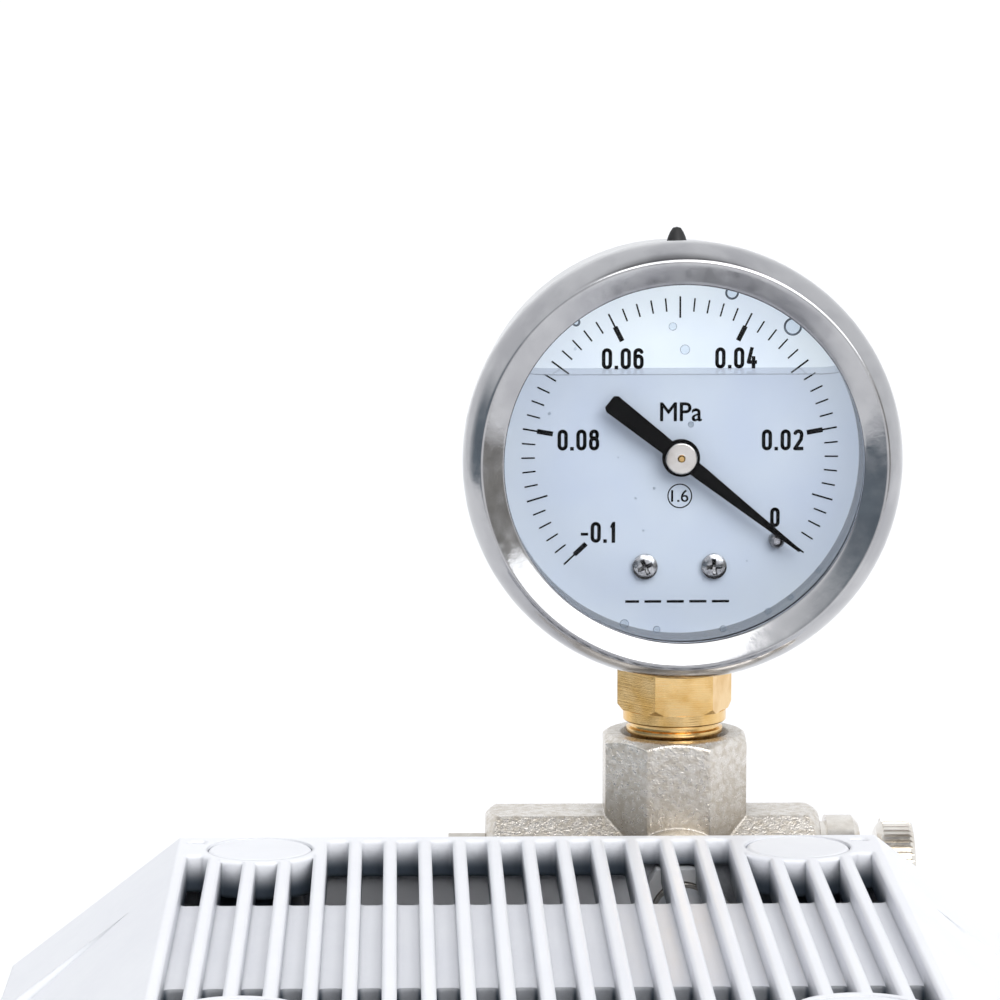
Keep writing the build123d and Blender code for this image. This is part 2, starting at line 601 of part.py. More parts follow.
with BuildPart() as gauge_bezel:
    with BuildSketch(gauge_section):
        with BuildLine():
            Polyline(
                (32.35, 10.6), (32.9, 10.6), (33.4, 11.1), (33.8, 12.6), (34.0, 14.6), (34.0, 18.6), (33.85, 19.9), (33.4, 21.0),
                (32.7, 21.9), (31.9, 22.35), (31.2, 22.5), (30.4, 22.35), (28.6, 21.6), (27.95, 21.35),
                (27.65, 21.05), (27.65, 20.75), (27.9, 20.55), (31.45, 20.55), (31.45, 17.05), (32.35, 17.05), close=True,
            )
        make_face()
    revolve(axis=gauge_axis)
gauge_bezel.part.label = "gauge_bezel"
export_step(gauge_bezel.part, "parts/gauge_bezel.step")

with BuildPart() as gauge_glass:
    with BuildSketch(gauge_section):
        with BuildLine():
            Polyline((0, 18.0), (31.3, 18.0), (31.3, 20.4), (31.1, 20.5), (0, 20.5), close=True)
        make_face()
    revolve(axis=gauge_axis)
gauge_glass.part.label = "gauge_glass"
export_step(gauge_glass.part, "parts/gauge_glass.step")

with BuildPart() as gauge_gasket:
    with BuildSketch(gauge_section):
        with BuildLine():
            Polyline((28.3, 15.6), (31.3, 15.6), (31.3, 18.0), (28.3, 18.0), (28.0, 17.6), (28.0, 16.0), close=True)
        make_face()
    revolve(axis=gauge_axis)
gauge_gasket.part.label = "gauge_gasket"
export_step(gauge_gasket.part, "parts/gauge_gasket.step")

with BuildPart() as fill_plug:
    with BuildSketch(Plane(origin=(X_STEM, Y_STEM, GAUGE_Z), x_dir=(1, 0, 0), z_dir=(0, -1, 0))):
        with BuildLine():
            Polyline(
                (0, 28.6), (3.9, 28.6), (4.7, 29.4), (4.7, 30.9), (4.0, 31.0), (4.0, 32.35), (4.7, 32.4), (4.7, 32.5),
                (4.3, 32.65), (1.75, 32.75), (1.4, 33.6), (1.1, 34.4), (0.7, 34.8), (0, 34.9), close=True,
            )
        make_face()
    revolve(axis=Axis((X_STEM, Y_STEM, 0), (0, 0, 1)))
fill_plug.part.label = "fill_plug"
export_step(fill_plug.part, "parts/fill_plug.step")

DIAL_Z = 10.0
with BuildPart() as gauge_dial:
    with BuildSketch(gauge_face(DIAL_Z - 0.6)):
        Circle(28.0)
        Circle(1.5, mode=Mode.SUBTRACT)
        with Locations((-5.4, -17.4), (5.4, -17.4)):
            Circle(1.1, mode=Mode.SUBTRACT)
        with Locations((15.1, -13.3)):
            Circle(0.62, mode=Mode.SUBTRACT)
    extrude(amount=0.6)
gauge_dial.part.label = "gauge_dial"
export_step(gauge_dial.part, "parts/gauge_dial.step")

with BuildPart() as dial_screws:
    for gx in (-5.4, 5.4):
        ctr = gauge_face(DIAL_Z).from_local_coords((gx, -17.4, 0))
        with BuildSketch(Plane(origin=ctr, x_dir=GX, z_dir=(0, 0, -1))):
            with BuildLine():
                Polyline((0, -4.5), (1.0, -4.5), (1.0, 0), (1.95, 0), (1.95, 0.5), (1.7, 0.95), (1.1, 1.25), (0, 1.3), close=True)
            make_face()
        revolve(axis=Axis(ctr, GN))
dial_screws.part.label = "dial_screws"
export_step(dial_screws.part, "parts/dial_screws.step")

with BuildPart() as stop_pin:
    ctr = gauge_face(DIAL_Z).from_local_coords((15.1, -13.3, 0))
    with BuildSketch(Plane(origin=ctr, x_dir=GX, z_dir=(0, 0, -1))):
        with BuildLine():
            Polyline((0, -0.9), (0.6, -0.9), (0.6, 0), (1.2, 0), (1.2, 1.4), (0.95, 1.75), (0.5, 1.95), (0, 2.0), close=True)
        make_face()
    revolve(axis=Axis(ctr, GN))
stop_pin.part.label = "stop_pin"
export_step(stop_pin.part, "parts/stop_pin.step")

# needle at rest on zero
NEEDLE_REST = -38.3
na = math.radians(NEEDLE_REST)


def polar(r, off):
    """Point r along the needle and off to its left, in dial coordinates."""
    return (r * math.cos(na) - off * math.sin(na), r * math.sin(na) + off * math.cos(na))


with BuildPart() as needle:
    with BuildSketch(gauge_face(12.6)):
        with BuildLine():
            Polyline(polar(0, 1.2), polar(4, 1.12), polar(23.7, 0.24), polar(23.7, -0.24), polar(4, -1.12), polar(0, -1.2), close=True)
        make_face()
        with BuildLine():
            Polyline(polar(0, 1.2), polar(-3, 1.25), polar(-13.6, 1.55), polar(-14.2, 1.1), polar(-14.2, -1.1), polar(-13.6, -1.55), polar(-3, -1.25), polar(0, -1.2), close=True)
        make_face()
        Circle(2.95)
        Circle(0.55, mode=Mode.SUBTRACT)
    extrude(amount=0.5)
    with BuildSketch(gauge_face(11.6)):
        Circle(1.8)
        Circle(0.55, mode=Mode.SUBTRACT)
    extrude(amount=1.0)
needle.part.label = "needle"
export_step(needle.part, "parts/needle.step")

with BuildPart() as needle_cap:
    with BuildSketch(gauge_section):
        with BuildLine():
            Polyline((0.55, 13.1), (2.45, 13.1), (2.45, 13.5), (2.2, 13.85), (1.6, 14.0), (0.55, 14.05), close=True)
        make_face()
    revolve(axis=gauge_axis)
needle_cap.part.label = "needle_cap"
export_step(needle_cap.part, "parts/needle_cap.step")

# movement: pinion on the needle shaft, sector gear below it
PIN_T, SEC_T = 14, 112
MOD = 0.2857
R_PIN, R_SEC = PIN_T * MOD / 2, SEC_T * MOD / 2
SEC_Y = -(R_PIN + R_SEC)
GEAR_Z0, GEAR_Z1 = 2.0, 3.2


def teeth(count, r_pitch, phase, first=0, last=None):
    """Outline points of thin straight-sided teeth about the origin."""
    pts = []
    for i in range(first, count if last is None else last):
        a = phase + 2 * math.pi * i / count
        q = 2 * math.pi / count
        for f, r in ((-0.30, r_pitch - 1.2 * MOD), (-0.20, r_pitch - 1.2 * MOD), (-0.06, r_pitch + 0.85 * MOD), (0.06, r_pitch + 0.85 * MOD), (0.20, r_pitch - 1.2 * MOD), (0.30, r_pitch - 1.2 * MOD)):
            pts.append((r * math.cos(a + f * q), r * math.sin(a + f * q)))
    return pts


with BuildPart() as pinion_shaft:
    with BuildSketch(gauge_section):
        with BuildLine():
            Polyline(
                (0, -1.6), (0.5, -1.6), (0.5, 0.2), (1.2, 0.2), (1.2, 5.8), (0.9, 5.8), (0.9, 8.6),
                (0.55, 8.8), (0.55, 14.2), (0.4, 14.35), (0, 14.35), close=True,
            )
        make_face()
    revolve(axis=gauge_axis)
    with BuildSketch(gauge_face(GEAR_Z0 - 0.4)):
        with BuildLine():
            Polyline(*teeth(PIN_T, R_PIN, math.radians(-90.0)), close=True)
        make_face()
    extrude(amount=GEAR_Z1 - GEAR_Z0 + 0.8)
pinion_shaft.part.label = "pinion_shaft"
export_step(pinion_shaft.part, "parts/pinion_shaft.step")

sector_local = Plane(origin=gauge_face(GEAR_Z0).from_local_coords((0, SEC_Y, 0)), x_dir=GX, z_dir=GN)
q_sec = 2 * math.pi / SEC_T
arc_pts = teeth(SEC_T, R_SEC, math.radians(90.0) + q_sec / 2, -2, 13)
TAIL_A, TAIL_R = math.radians(205.0), 6.0
TAIL = (TAIL_R * math.cos(TAIL_A), TAIL_R * math.sin(TAIL_A))
with BuildPart() as sector_gear:
    with BuildSketch(sector_local):
        with BuildLine():
            Polyline(
                *arc_pts,
                (-9.4, 9.9), (-3.0, 0.8), (-2.4, -2.0), (2.2, -2.0), (2.2, 2.0), (1.1, 12.0),
                close=True,
            )
        make_face()
        with BuildLine():
            Polyline((-1.0, 1.6), (TAIL[0] - 0.7, TAIL[1] + 1.2), (TAIL[0] - 1.0, TAIL[1] - 1.0), (TAIL[0] + 1.0, TAIL[1] - 1.2), (0.0, -1.9), close=True)
        make_face()
    extrude(amount=GEAR_Z1 - GEAR_Z0)
    with BuildSketch(sector_local.offset(-3.6)):
        Circle(0.7)
    extrude(amount=8.2)
    with BuildSketch(sector_local.offset(-0.2)):
        Circle(1.6)
    extrude(amount=1.6)
    with BuildSketch(sector_local):
        with Locations(TAIL):
            Circle(0.45)
    extrude(amount=2.5)
sector_gear.part.label = "sector_gear"
export_step(sector_gear.part, "parts/sector_gear.step")

# brass socket: block inside the case, hexagon and thread below it
with BuildPart() as gauge_socket:
    with BuildSketch(gauge_face(-5.5)):
        with Locations((0, -26.9)):
            Rectangle(13.0, 7.6)
    extrude(amount=13.9)
    with BuildSketch(at_z(GAUGE_Z - 33.0)):
        with Locations((X_STEM, Y_STEM)):
            Circle(8.0)
    extrude(amount=3.0)
    with BuildSketch(Plane(origin=(X_STEM, Y_STEM, Z_TOP + 16.4), x_dir=GX, z_dir=(0, 0, 1))):
        RegularPolygon(8.0, 6, major_radius=False, rotation=7.2)
    extrude(amount=(GAUGE_Z - 32.35) - (Z_TOP + 16.4))
    with BuildSketch(Plane(origin=(X_STEM, Y_STEM, Z_TOP), x_dir=(1, 0, 0), z_dir=(0, -1, 0))):
        with BuildLine():
            Polyline((8.6, 16.2), (8.6, 16.5), (10.0, 18.3), (12, 18.3), (12, 16.2), close=True)
        make_face()
    revolve(axis=Axis((X_STEM, Y_STEM, 0), (0, 0, 1)), mode=Mode.SUBTRACT)
    with BuildSketch(Plane(origin=(X_STEM, Y_STEM, Z_TOP), x_dir=(1, 0, 0), z_dir=(0, -1, 0))):
        with BuildLine():
            Polyline(
                (0, 1.5), (6.3, 1.5), (6.95, 2.2), (6.95, 11.0), (7.0, 12.6), (7.65, 12.75), (7.65, 13.5), (7.1, 13.7),
                (7.1, 14.4), (8.0, 14.6), (8.2, 14.8), (8.2, 16.4), (0, 16.4), close=True,
            )
        make_face()
    revolve(axis=Axis((X_STEM, Y_STEM, 0), (0, 0, 1)))
    with BuildSketch(at_z(Z_TOP + 1.0)):
        with Locations((X_STEM, Y_STEM)):
            Circle(1.6)
    extrude(amount=26.0, mode=Mode.SUBTRACT)
    # tapped holes for the dial screws, in two lugs that carry the dial
    with BuildSketch(gauge_face(8.4)):
        with Locations((0, -20.5)):
            Rectangle(15.0, 9.5)
        with Locations((0, -14.8)):
            Rectangle(5.0, 6.0, mode=Mode.SUBTRACT)
        with Locations((-5.4, -17.4), (5.4, -17.4)):
            Circle(1.02, mode=Mode.SUBTRACT)
    extrude(amount=1.0)
    with BuildSketch(gauge_face(8.3)):
        with Locations((0, -26.0)):
            Rectangle(9.0, 6.0)
    extrude(amount=1.1)
gauge_socket.part.label = "gauge_socket"
export_step(gauge_socket.part, "parts/gauge_socket.step")

with BuildPart() as movement_frame:
    for z0, z1 in ((-1.0, 0.0), (6.2, 7.2)):
        with BuildSketch(gauge_face(z0)):
            with Locations((0, -9.5)):
                Rectangle(8.4, 27.0)
            Circle((0.55 if z0 < 0 else 0.95), mode=Mode.SUBTRACT)
            with Locations((0, SEC_Y)):
                Circle(0.75, mode=Mode.SUBTRACT)
        extrude(amount=z1 - z0)
    with BuildSketch(gauge_face(-0.5)):
        with Locations((3.0, 2.6), (3.0, -21.2)):
            Circle(1.1)
    extrude(amount=7.2)
movement_frame.part.label = "movement_frame"
export_step(movement_frame.part, "parts/movement_frame.step")

# Bourdon tube: flattened tube bent round the movement, soldered to the socket
BT_R, BT_A0, BT_A1 = 26.3, -72.0, 206.0
with BuildPart() as bourdon_tube:
    a0 = math.radians(BT_A0)
    start = gauge_face(1.5).from_local_coords((BT_R * math.cos(a0), BT_R * math.sin(a0), 0))
    radial = tuple(GX[i] * math.cos(a0) + (0, 0, 1)[i] * math.sin(a0) for i in range(3))
    tangent = tuple(-GX[i] * math.sin(a0) + (0, 0, 1)[i] * math.cos(a0) for i in range(3))
    with BuildSketch(Plane(origin=start, x_dir=radial, z_dir=tangent)):
        SlotOverall(9.0, 2.4, rotation=90)
    revolve(axis=gauge_axis, revolution_arc=BT_A1 - BT_A0)
    a1 = math.radians(BT_A1)
    with BuildSketch(gauge_face(0.2)):
        with Locations(((BT_R - 1.0) * math.cos(a1 + 0.03), (BT_R - 1.0) * math.sin(a1 + 0.03))):
            Rectangle(3.4, 3.4)
    extrude(amount=2.0)
bourdon_tube.part.label = "bourdon_tube"
export_step(bourdon_tube.part, "parts/bourdon_tube.step")

# link from the tube tip to the sector tail
tail_xy = (TAIL[0], SEC_Y + TAIL[1])
tip_xy = ((BT_R - 1.9) * math.cos(a1 + 0.03), (BT_R - 1.9) * math.sin(a1 + 0.03))
link_len = math.hypot(tip_xy[0] - tail_xy[0], tip_xy[1] - tail_xy[1])
link_ang = math.degrees(math.atan2(tip_xy[1] - tail_xy[1], tip_xy[0] - tail_xy[0]))
with BuildPart() as tip_link:
    with BuildSketch(gauge_face(GEAR_Z1 + 0.3)):
        with Locations(((tail_xy[0] + tip_xy[0]) / 2, (tail_xy[1] + tip_xy[1]) / 2)):
            SlotCenterToCenter(link_len, 2.0, rotation=link_ang)
        with Locations(tail_xy):
            Circle(0.5, mode=Mode.SUBTRACT)
        with Locations(tip_xy):
            Circle(0.5, mode=Mode.SUBTRACT)
    extrude(amount=0.6)
tip_link.part.label = "tip_link"
export_step(tip_link.part, "parts/tip_link.step")

# ---------------------------------------------------------------------------
# Suction and outlet nipples through the back wall of the cover
# ---------------------------------------------------------------------------
with BuildPart() as suction_nipple:
    with BuildSketch(Plane(origin=(X_STEM, Y_BACK, Z_RUN), x_dir=(0, -1, 0), z_dir=(1, 0, 0))):
        with BuildLine():
            Polyline(
                (-10.0, 2.4), (-10.0, 4.85), (8.0, 4.85), (8.0, 3.3), (10.0, 3.3), (10.8, 3.6), (13.0, 3.1),
                (13.8, 3.6), (16.0, 3.1), (22.0, 3.1), (22.0, 2.4), close=True,
            )
        make_face()
    revolve(axis=Axis((X_STEM, 0, Z_RUN), (0, 1, 0)))
suction_nipple.part.label = "suction_nipple"
export_step(suction_nipple.part, "parts/suction_nipple.step")

with BuildPart() as outlet_nipple:
    with BuildSketch(Plane(origin=(-16.0, Y_BACK, 143.0), x_dir=(0, -1, 0), z_dir=(1, 0, 0))):
        with BuildLine():
            Polyline(
                (-22.0, 2.4), (-22.0, 3.3), (-21.0, 4.0), (-12.0, 4.0), (-9.5, 4.7), (-8.5, 4.0), (-6.0, 4.7),
                (-5.0, 4.0), (-4.0, 4.0), (-4.0, 6.4), (-0.8, 6.4), (0, 7.0), (0, 4.85), (8.0, 4.85), (8.0, 3.3), (10.0, 3.3),
                (10.8, 3.6), (13.0, 3.1), (13.8, 3.6), (16.0, 3.1), (22.0, 3.1), (22.0, 2.4), close=True,
            )
        make_face()
    revolve(axis=Axis((-16.0, 0, 143.0), (0, 1, 0)))
    with BuildSketch(at_y(Y_BACK + 4.0)):
        with Locations((-16.0, 143.0)):
            RegularPolygon(6.5, 6, major_radius=False)
            Circle(4.5, mode=Mode.SUBTRACT)
    extrude(amount=4.0)
outlet_nipple.part.label = "outlet_nipple"
export_step(outlet_nipple.part, "parts/outlet_nipple.step")

with BuildPart() as nipple_nuts:
    for x, z in ((X_STEM, Z_RUN), (-16.0, 143.0)):
        with BuildSketch(Plane(origin=(x, Y_BACK - WALL, z), x_dir=(0, 0, 1), z_dir=(0, -1, 0))):
            RegularPolygon(6.9, 6, major_radius=False, rotation=30)
            Circle(4.95, mode=Mode.SUBTRACT)
        extrude(amount=4.0)
nipple_nuts.part.label = "nipple_nuts"
export_step(nipple_nuts.part, "parts/nipple_nuts.step")

# ---------------------------------------------------------------------------
# Motor: rotor shaft along X, stator clamped between two cast end bells
# ---------------------------------------------------------------------------
ROD_Y = Y_MID
STATOR = (-40.0, -14.0)
motor_axis = Axis((0, ROD_Y, Z_CRANK), (1, 0, 0))
motor_section = Plane(origin=(0, ROD_Y, Z_CRANK), x_dir=(1, 0, 0), z_dir=(0, -1, 0))   # x along shaft, y radial


def on_motor(x):
    return Plane(origin=(x, ROD_Y, Z_CRANK), x_dir=(0, 1, 0), z_dir=(1, 0, 0))


with BuildPart() as motor_stator:
    with BuildSketch(on_motor(STATOR[0])):
        Circle(MOTOR_R)
        Circle(20.5, mode=Mode.SUBTRACT)
        with PolarLocations(31.0, 4, start_angle=45):
            Circle(2.1, mode=Mode.SUBTRACT)
        with PolarLocations(23.0, 12):
            Rectangle(5.5, 3.0, mode=Mode.SUBTRACT)
    extrude(amount=STATOR[1] - STATOR[0])
motor_stator.part.label = "motor_stator"
export_step(motor_stator.part, "parts/motor_stator.step")

with BuildPart() as motor_windings:
    with BuildSketch(motor_section):
        with BuildLine():
            Polyline((-47.0, 22.0), (-45.5, 21.2), (-40.0, 21.2), (-40.0, 27.5), (-45.5, 27.5), (-47.0, 26.5), close=True)
        make_face()
        with BuildLine():
            Polyline((-7.0, 22.0), (-8.5, 21.2), (-14.0, 21.2), (-14.0, 27.5), (-8.5, 27.5), (-7.0, 26.5), close=True)
        make_face()
    revolve(axis=motor_axis)
motor_windings.part.label = "motor_windings"
export_step(motor_windings.part, "parts/motor_windings.step")

with BuildPart() as rear_bell:
    with BuildSketch(motor_section):
        with BuildLine():
            Polyline(
                (-40.0, 33.0), (-40.0, 35.0), (-53.0, 35.0), (-55.0, 33.5), (-55.0, 14.0), (-56.5, 13.0), (-56.5, 9.0),
                (-56.0, 9.0), (-56.0, 11.0), (-49.0, 11.0), (-49.0, 14.0), (-51.5, 15.0), (-51.5, 31.5), (-50.0, 33.0), close=True,
            )
        make_face()
    revolve(axis=motor_axis)
    with BuildSketch(on_motor(-57.0)):
        with PolarLocations(31.0, 4, start_angle=45):
            Circle(2.1)
        with PolarLocations(23.0, 8):
            SlotOverall(12.0, 3.6)
    extrude(amount=7.0, mode=Mode.SUBTRACT)
rear_bell.part.label = "rear_bell"
export_step(rear_bell.part, "parts/rear_bell.step")

with BuildPart() as front_bell:
    with BuildSketch(motor_section):
        with BuildLine():
            Polyline(
                (-14.0, 33.0), (-14.0, 35.0), (1.0, 35.0), (1.0, 11.0), (-6.0, 11.0), (-6.0, 14.0), (-4.0, 15.0),
                (-4.0, 33.0), close=True,
            )
        make_face()
    revolve(axis=motor_axis)
    with BuildSketch(on_motor(-7.0)):
        with PolarLocations(31.0, 4, start_angle=45):
            Circle(1.95)
    extrude(amount=9.0, mode=Mode.SUBTRACT)
front_bell.part.label = "front_bell"
export_step(front_bell.part, "parts/front_bell.step")

with BuildPart() as motor_bolts:
    for k in range(4):
        a = math.radians(45 + 90 * k)
        y, z = ROD_Y + 31.0 * math.cos(a), Z_CRANK + 31.0 * math.sin(a)
        with BuildSketch(Plane(origin=(-55.0, y, z), x_dir=(0, 1, 0), z_dir=(1, 0, 0))):
            Circle(1.9)
        extrude(amount=55.0)
        with BuildSketch(Plane(origin=(-57.2, y, z), x_dir=(0, 1, 0), z_dir=(1, 0, 0))):
            RegularPolygon(3.4, 6)
        extrude(amount=2.2)
motor_bolts.part.label = "motor_bolts"
export_step(motor_bolts.part, "parts/motor_bolts.step")

with BuildPart() as motor_bearings:
    for x in (-56.0, -6.0):
        with BuildSketch(on_motor(x)):
            Circle(10.98)
            Circle(4.04, mode=Mode.SUBTRACT)
        extrude(amount=7.0)
motor_bearings.part.label = "motor_bearings"
export_step(motor_bearings.part, "parts/motor_bearings.step")

with BuildPart() as rotor_shaft:
    with BuildSketch(motor_section):
        with BuildLine():
            Polyline((-68.0, 0), (-68.0, 3.5), (-67.5, 4.0), (15.5, 4.0), (16.0, 3.5), (16.0, 0), close=True)
        make_face()
    revolve(axis=motor_axis)
rotor_shaft.part.label = "rotor_shaft"
export_step(rotor_shaft.part, "parts/rotor_shaft.step")

with BuildPart() as rotor:
    with BuildSketch(on_motor(-41.0)):
        Circle(20.0)
        Circle(4.0, mode=Mode.SUBTRACT)
    extrude(amount=28.0)
    with BuildSketch(on_motor(-45.0)):
        Circle(19.0)
        Circle(13.0, mode=Mode.SUBTRACT)
    extrude(amount=36.0)
rotor.part.label = "rotor"
export_step(rotor.part, "parts/rotor.step")

with BuildPart() as cooling_fan:
    with BuildSketch(on_motor(-67.5)):
        Circle(9.0)
        Circle(4.0, mode=Mode.SUBTRACT)
    extrude(amount=8.5)
    with BuildSketch(on_motor(-60.6)):
        Circle(31.0)
        Circle(8.0, mode=Mode.SUBTRACT)
    extrude(amount=1.4)
    with BuildSketch(on_motor(-67.5)):
        with PolarLocations(19.0, 9):
            Rectangle(23.0, 1.4, rotation=14)
    extrude(amount=7.6)
cooling_fan.part.label = "cooling_fan"
export_step(cooling_fan.part, "parts/cooling_fan.step")

# ---------------------------------------------------------------------------
# Crank, connecting rod and diaphragm head
# ---------------------------------------------------------------------------
with BuildPart() as eccentric:
    with BuildSketch(on_motor(9.0)):
        with Locations((0, -8.0)):
            Rectangle(28.0, 14.0)
        Circle(17.0, mode=Mode.INTERSECT)
    extrude(amount=6.0)
    with BuildSketch(on_motor(7.0)):
        Circle(11.5)
    extrude(amount=11.5)
    with BuildSketch(on_motor(6.0)):
        Circle(4.0)
    extrude(amount=10.0, mode=Mode.SUBTRACT)
    with BuildSketch(Plane(origin=(18.5, ROD_Y, Z_CRANK + ECC), x_dir=(0, 1, 0), z_dir=(1, 0, 0))):
        Circle(6.0)
    extrude(amount=12.0)
eccentric.part.label = "eccentric"
export_step(eccentric.part, "parts/eccentric.step")


def on_pin(x):
    return Plane(origin=(x, ROD_Y, Z_CRANK + ECC), x_dir=(0, 1, 0), z_dir=(1, 0, 0))


with BuildPart() as rod_bearing:
    with BuildSketch(on_pin(20.0)):
        Circle(12.0)
        Circle(6.05, mode=Mode.SUBTRACT)
    extrude(amount=8.0)
rod_bearing.part.label = "rod_bearing"
export_step(rod_bearing.part, "parts/rod_bearing.step")

Z_DIAPH = Z_SEAT + ECC                      # underside of the raised diaphragm centre
rod_foot = Plane(origin=(X_ROD, ROD_Y, Z_DIAPH - 2.5))
with BuildPart() as connecting_rod:
    with BuildSketch(on_pin(20.0)):
        Circle(16.0)
    extrude(amount=8.0)
    box_between(20.5, 27.5, ROD_Y - 5.0, ROD_Y + 5.0, Z_CRANK + ECC + 12.0, Z_DIAPH - 2.0)
    with BuildSketch(rod_foot):
        Circle(11.0)
    extrude(amount=2.5)
    with BuildSketch(on_pin(19.0)):
        Circle(12.0)
    extrude(amount=10.0, mode=Mode.SUBTRACT)
    with BuildSketch(Plane(origin=(X_ROD, ROD_Y, Z_DIAPH + 1.0))):
        Circle(2.05)
    extrude(amount=-16.0, mode=Mode.SUBTRACT)
connecting_rod.part.label = "connecting_rod"
export_step(connecting_rod.part, "parts/connecting_rod.step")

with BuildPart() as diaphragm:
    with BuildSketch(Plane(origin=(X_ROD, ROD_Y, Z_SEAT), x_dir=(1, 0, 0), z_dir=(0, -1, 0))):
        with BuildLine():
            Polyline(
                (2.7, 3.05), (11.6, 3.05), (17.6, 0.0), (29.0, 0.0), (29.0, 1.2), (18.2, 1.2), (12.0, 4.2), (2.7, 4.2), close=True,
            )
        make_face()
    revolve(axis=Axis((X_ROD, ROD_Y, 0), (0, 0, 1)))
    with BuildSketch(Plane(origin=(X_ROD, ROD_Y, Z_SEAT))):
        with PolarLocations(25.0, 4, start_angle=45):
            Circle(2.7)
    extrude(amount=2.0, mode=Mode.SUBTRACT)
diaphragm.part.label = "diaphragm"
export_step(diaphragm.part, "parts/diaphragm.step")

with BuildPart() as diaphragm_clamp:
    with BuildSketch(Plane(origin=(X_ROD, ROD_Y, Z_SEAT + 4.25), x_dir=(1, 0, 0), z_dir=(0, -1, 0))):
        with BuildLine():
            Polyline((0, -15.0), (2.0, -15.0), (2.0, 0), (10.6, 0), (11.0, 0.5), (10.4, 1.6), (3.0, 1.6), (2.6, 0.9), (0, 0.9), close=True)
        make_face()
    revolve(axis=Axis((X_ROD, ROD_Y, 0), (0, 0, 1)))
diaphragm_clamp.part.label = "diaphragm_clamp"
export_step(diaphragm_clamp.part, "parts/diaphragm_clamp.step")


head_plane = Plane(origin=(X_ROD, ROD_Y, Z_SEAT))
with BuildPart() as crankcase:
    box_between(1.0, 47.0, ROD_Y - 25.0, ROD_Y + 25.0, 38.0, 99.6)
    fillet(edges().filter_by(Axis.X), 4.0)
    with BuildSketch(head_plane.offset(-8.0)):
        Circle(30.0)
    extrude(amount=8.0)
    with BuildSketch(on_motor(5.0)):
        Circle(22.0)
    extrude(amount=43.0, mode=Mode.SUBTRACT)
    with BuildSketch(on_motor(0.0)):
        Circle(6.0)
    extrude(amount=6.0, mode=Mode.SUBTRACT)
    with BuildSketch(Plane(origin=(X_ROD, ROD_Y, Z_CRANK))):
        Circle(18.5)
    extrude(amount=50.0, mode=Mode.SUBTRACT)
    with BuildSketch(head_plane):
        with PolarLocations(25.0, 4, start_angle=45):
            Circle(2.1)
    extrude(amount=-14.0, mode=Mode.SUBTRACT)
crankcase.part.label = "crankcase"
export_step(crankcase.part, "parts/crankcase.step")



Z_PLATE = Z_SEAT + 1.2
with BuildPart() as valve_plate:
    with BuildSketch(head_plane.offset(1.2)):
        Circle(30.0)
        with PolarLocations(25.0, 4, start_angle=45):
            Circle(2.6, mode=Mode.SUBTRACT)
    extrude(amount=10.0)
    with BuildSketch(head_plane.offset(1.2)):
        Circle(18.5)
    extrude(amount=6.2, mode=Mode.SUBTRACT)
    with BuildSketch(head_plane.offset(1.2)):
        with Locations((-9, 0), (9, 0)):
            with PolarLocations(2.6, 4):
                Circle(1.3, mode=Mode.ADD)
    extrude(amount=11.0, mode=Mode.SUBTRACT)
valve_plate.part.label = "valve_plate"
export_step(valve_plate.part, "parts/valve_plate.step")

with BuildPart() as reed_valves:
    with BuildSketch(head_plane.offset(7.1)):
        with Locations((9, 0)):
            SlotOverall(17.0, 9.0, rotation=90)
    extrude(amount=0.3)
    with BuildSketch(head_plane.offset(11.2)):
        with Locations((-9, 0)):
            SlotOverall(17.0, 9.0, rotation=90)
    extrude(amount=0.3)
reed_valves.part.label = "reed_valves"
export_step(reed_valves.part, "parts/reed_valves.step")


Z_HEAD = Z_SEAT + 11.2
with BuildPart() as pump_head:
    with BuildSketch(head_plane.offset(11.2)):
        Circle(30.0)
    extrude(amount=13.0)
    fillet(edges().filter_by(lambda e: abs(e.center().Z - (Z_HEAD + 13.0)) < 0.01), 1.5)
    with BuildSketch(head_plane.offset(11.2)):
        Circle(20.0)
        Rectangle(3.0, 42.0, mode=Mode.SUBTRACT)
    extrude(amount=8.0, mode=Mode.SUBTRACT)
    with BuildSketch(head_plane.offset(11.2)):
        with Locations((-12, 0), (12, 0)):
            Circle(4.5)
    extrude(amount=14.0, mode=Mode.SUBTRACT)
    with BuildSketch(head_plane.offset(11.2)):
        with PolarLocations(25.0, 4, start_angle=45):
            Circle(2.6)
    extrude(amount=14.0, mode=Mode.SUBTRACT)
    with BuildSketch(head_plane.offset(20.7)):
        with Locations((0, -22.0), (0, 22.0)):
            with GridLocations(4.4, 1, 5, 1):
                Rectangle(2.0, 22.0)
    extrude(amount=4.0, mode=Mode.SUBTRACT)
pump_head.part.label = "pump_head"
export_step(pump_head.part, "parts/pump_head.step")

with BuildPart() as head_screws:
    with BuildSketch(head_plane.offset(24.2)):
        with PolarLocations(25.0, 4, start_angle=45):
            Circle(4.2)
    extrude(amount=4.2)
    with BuildSketch(head_plane.offset(28.4)):
        with PolarLocations(25.0, 4, start_angle=45):
            RegularPolygon(2.2, 6)
    extrude(amount=-2.5, mode=Mode.SUBTRACT)
    with BuildSketch(head_plane.offset(24.2)):
        with PolarLocations(25.0, 4, start_angle=45):
            Circle(2.05)
    extrude(amount=-37.0)
head_screws.part.label = "head_screws"
export_step(head_screws.part, "parts/head_screws.step")

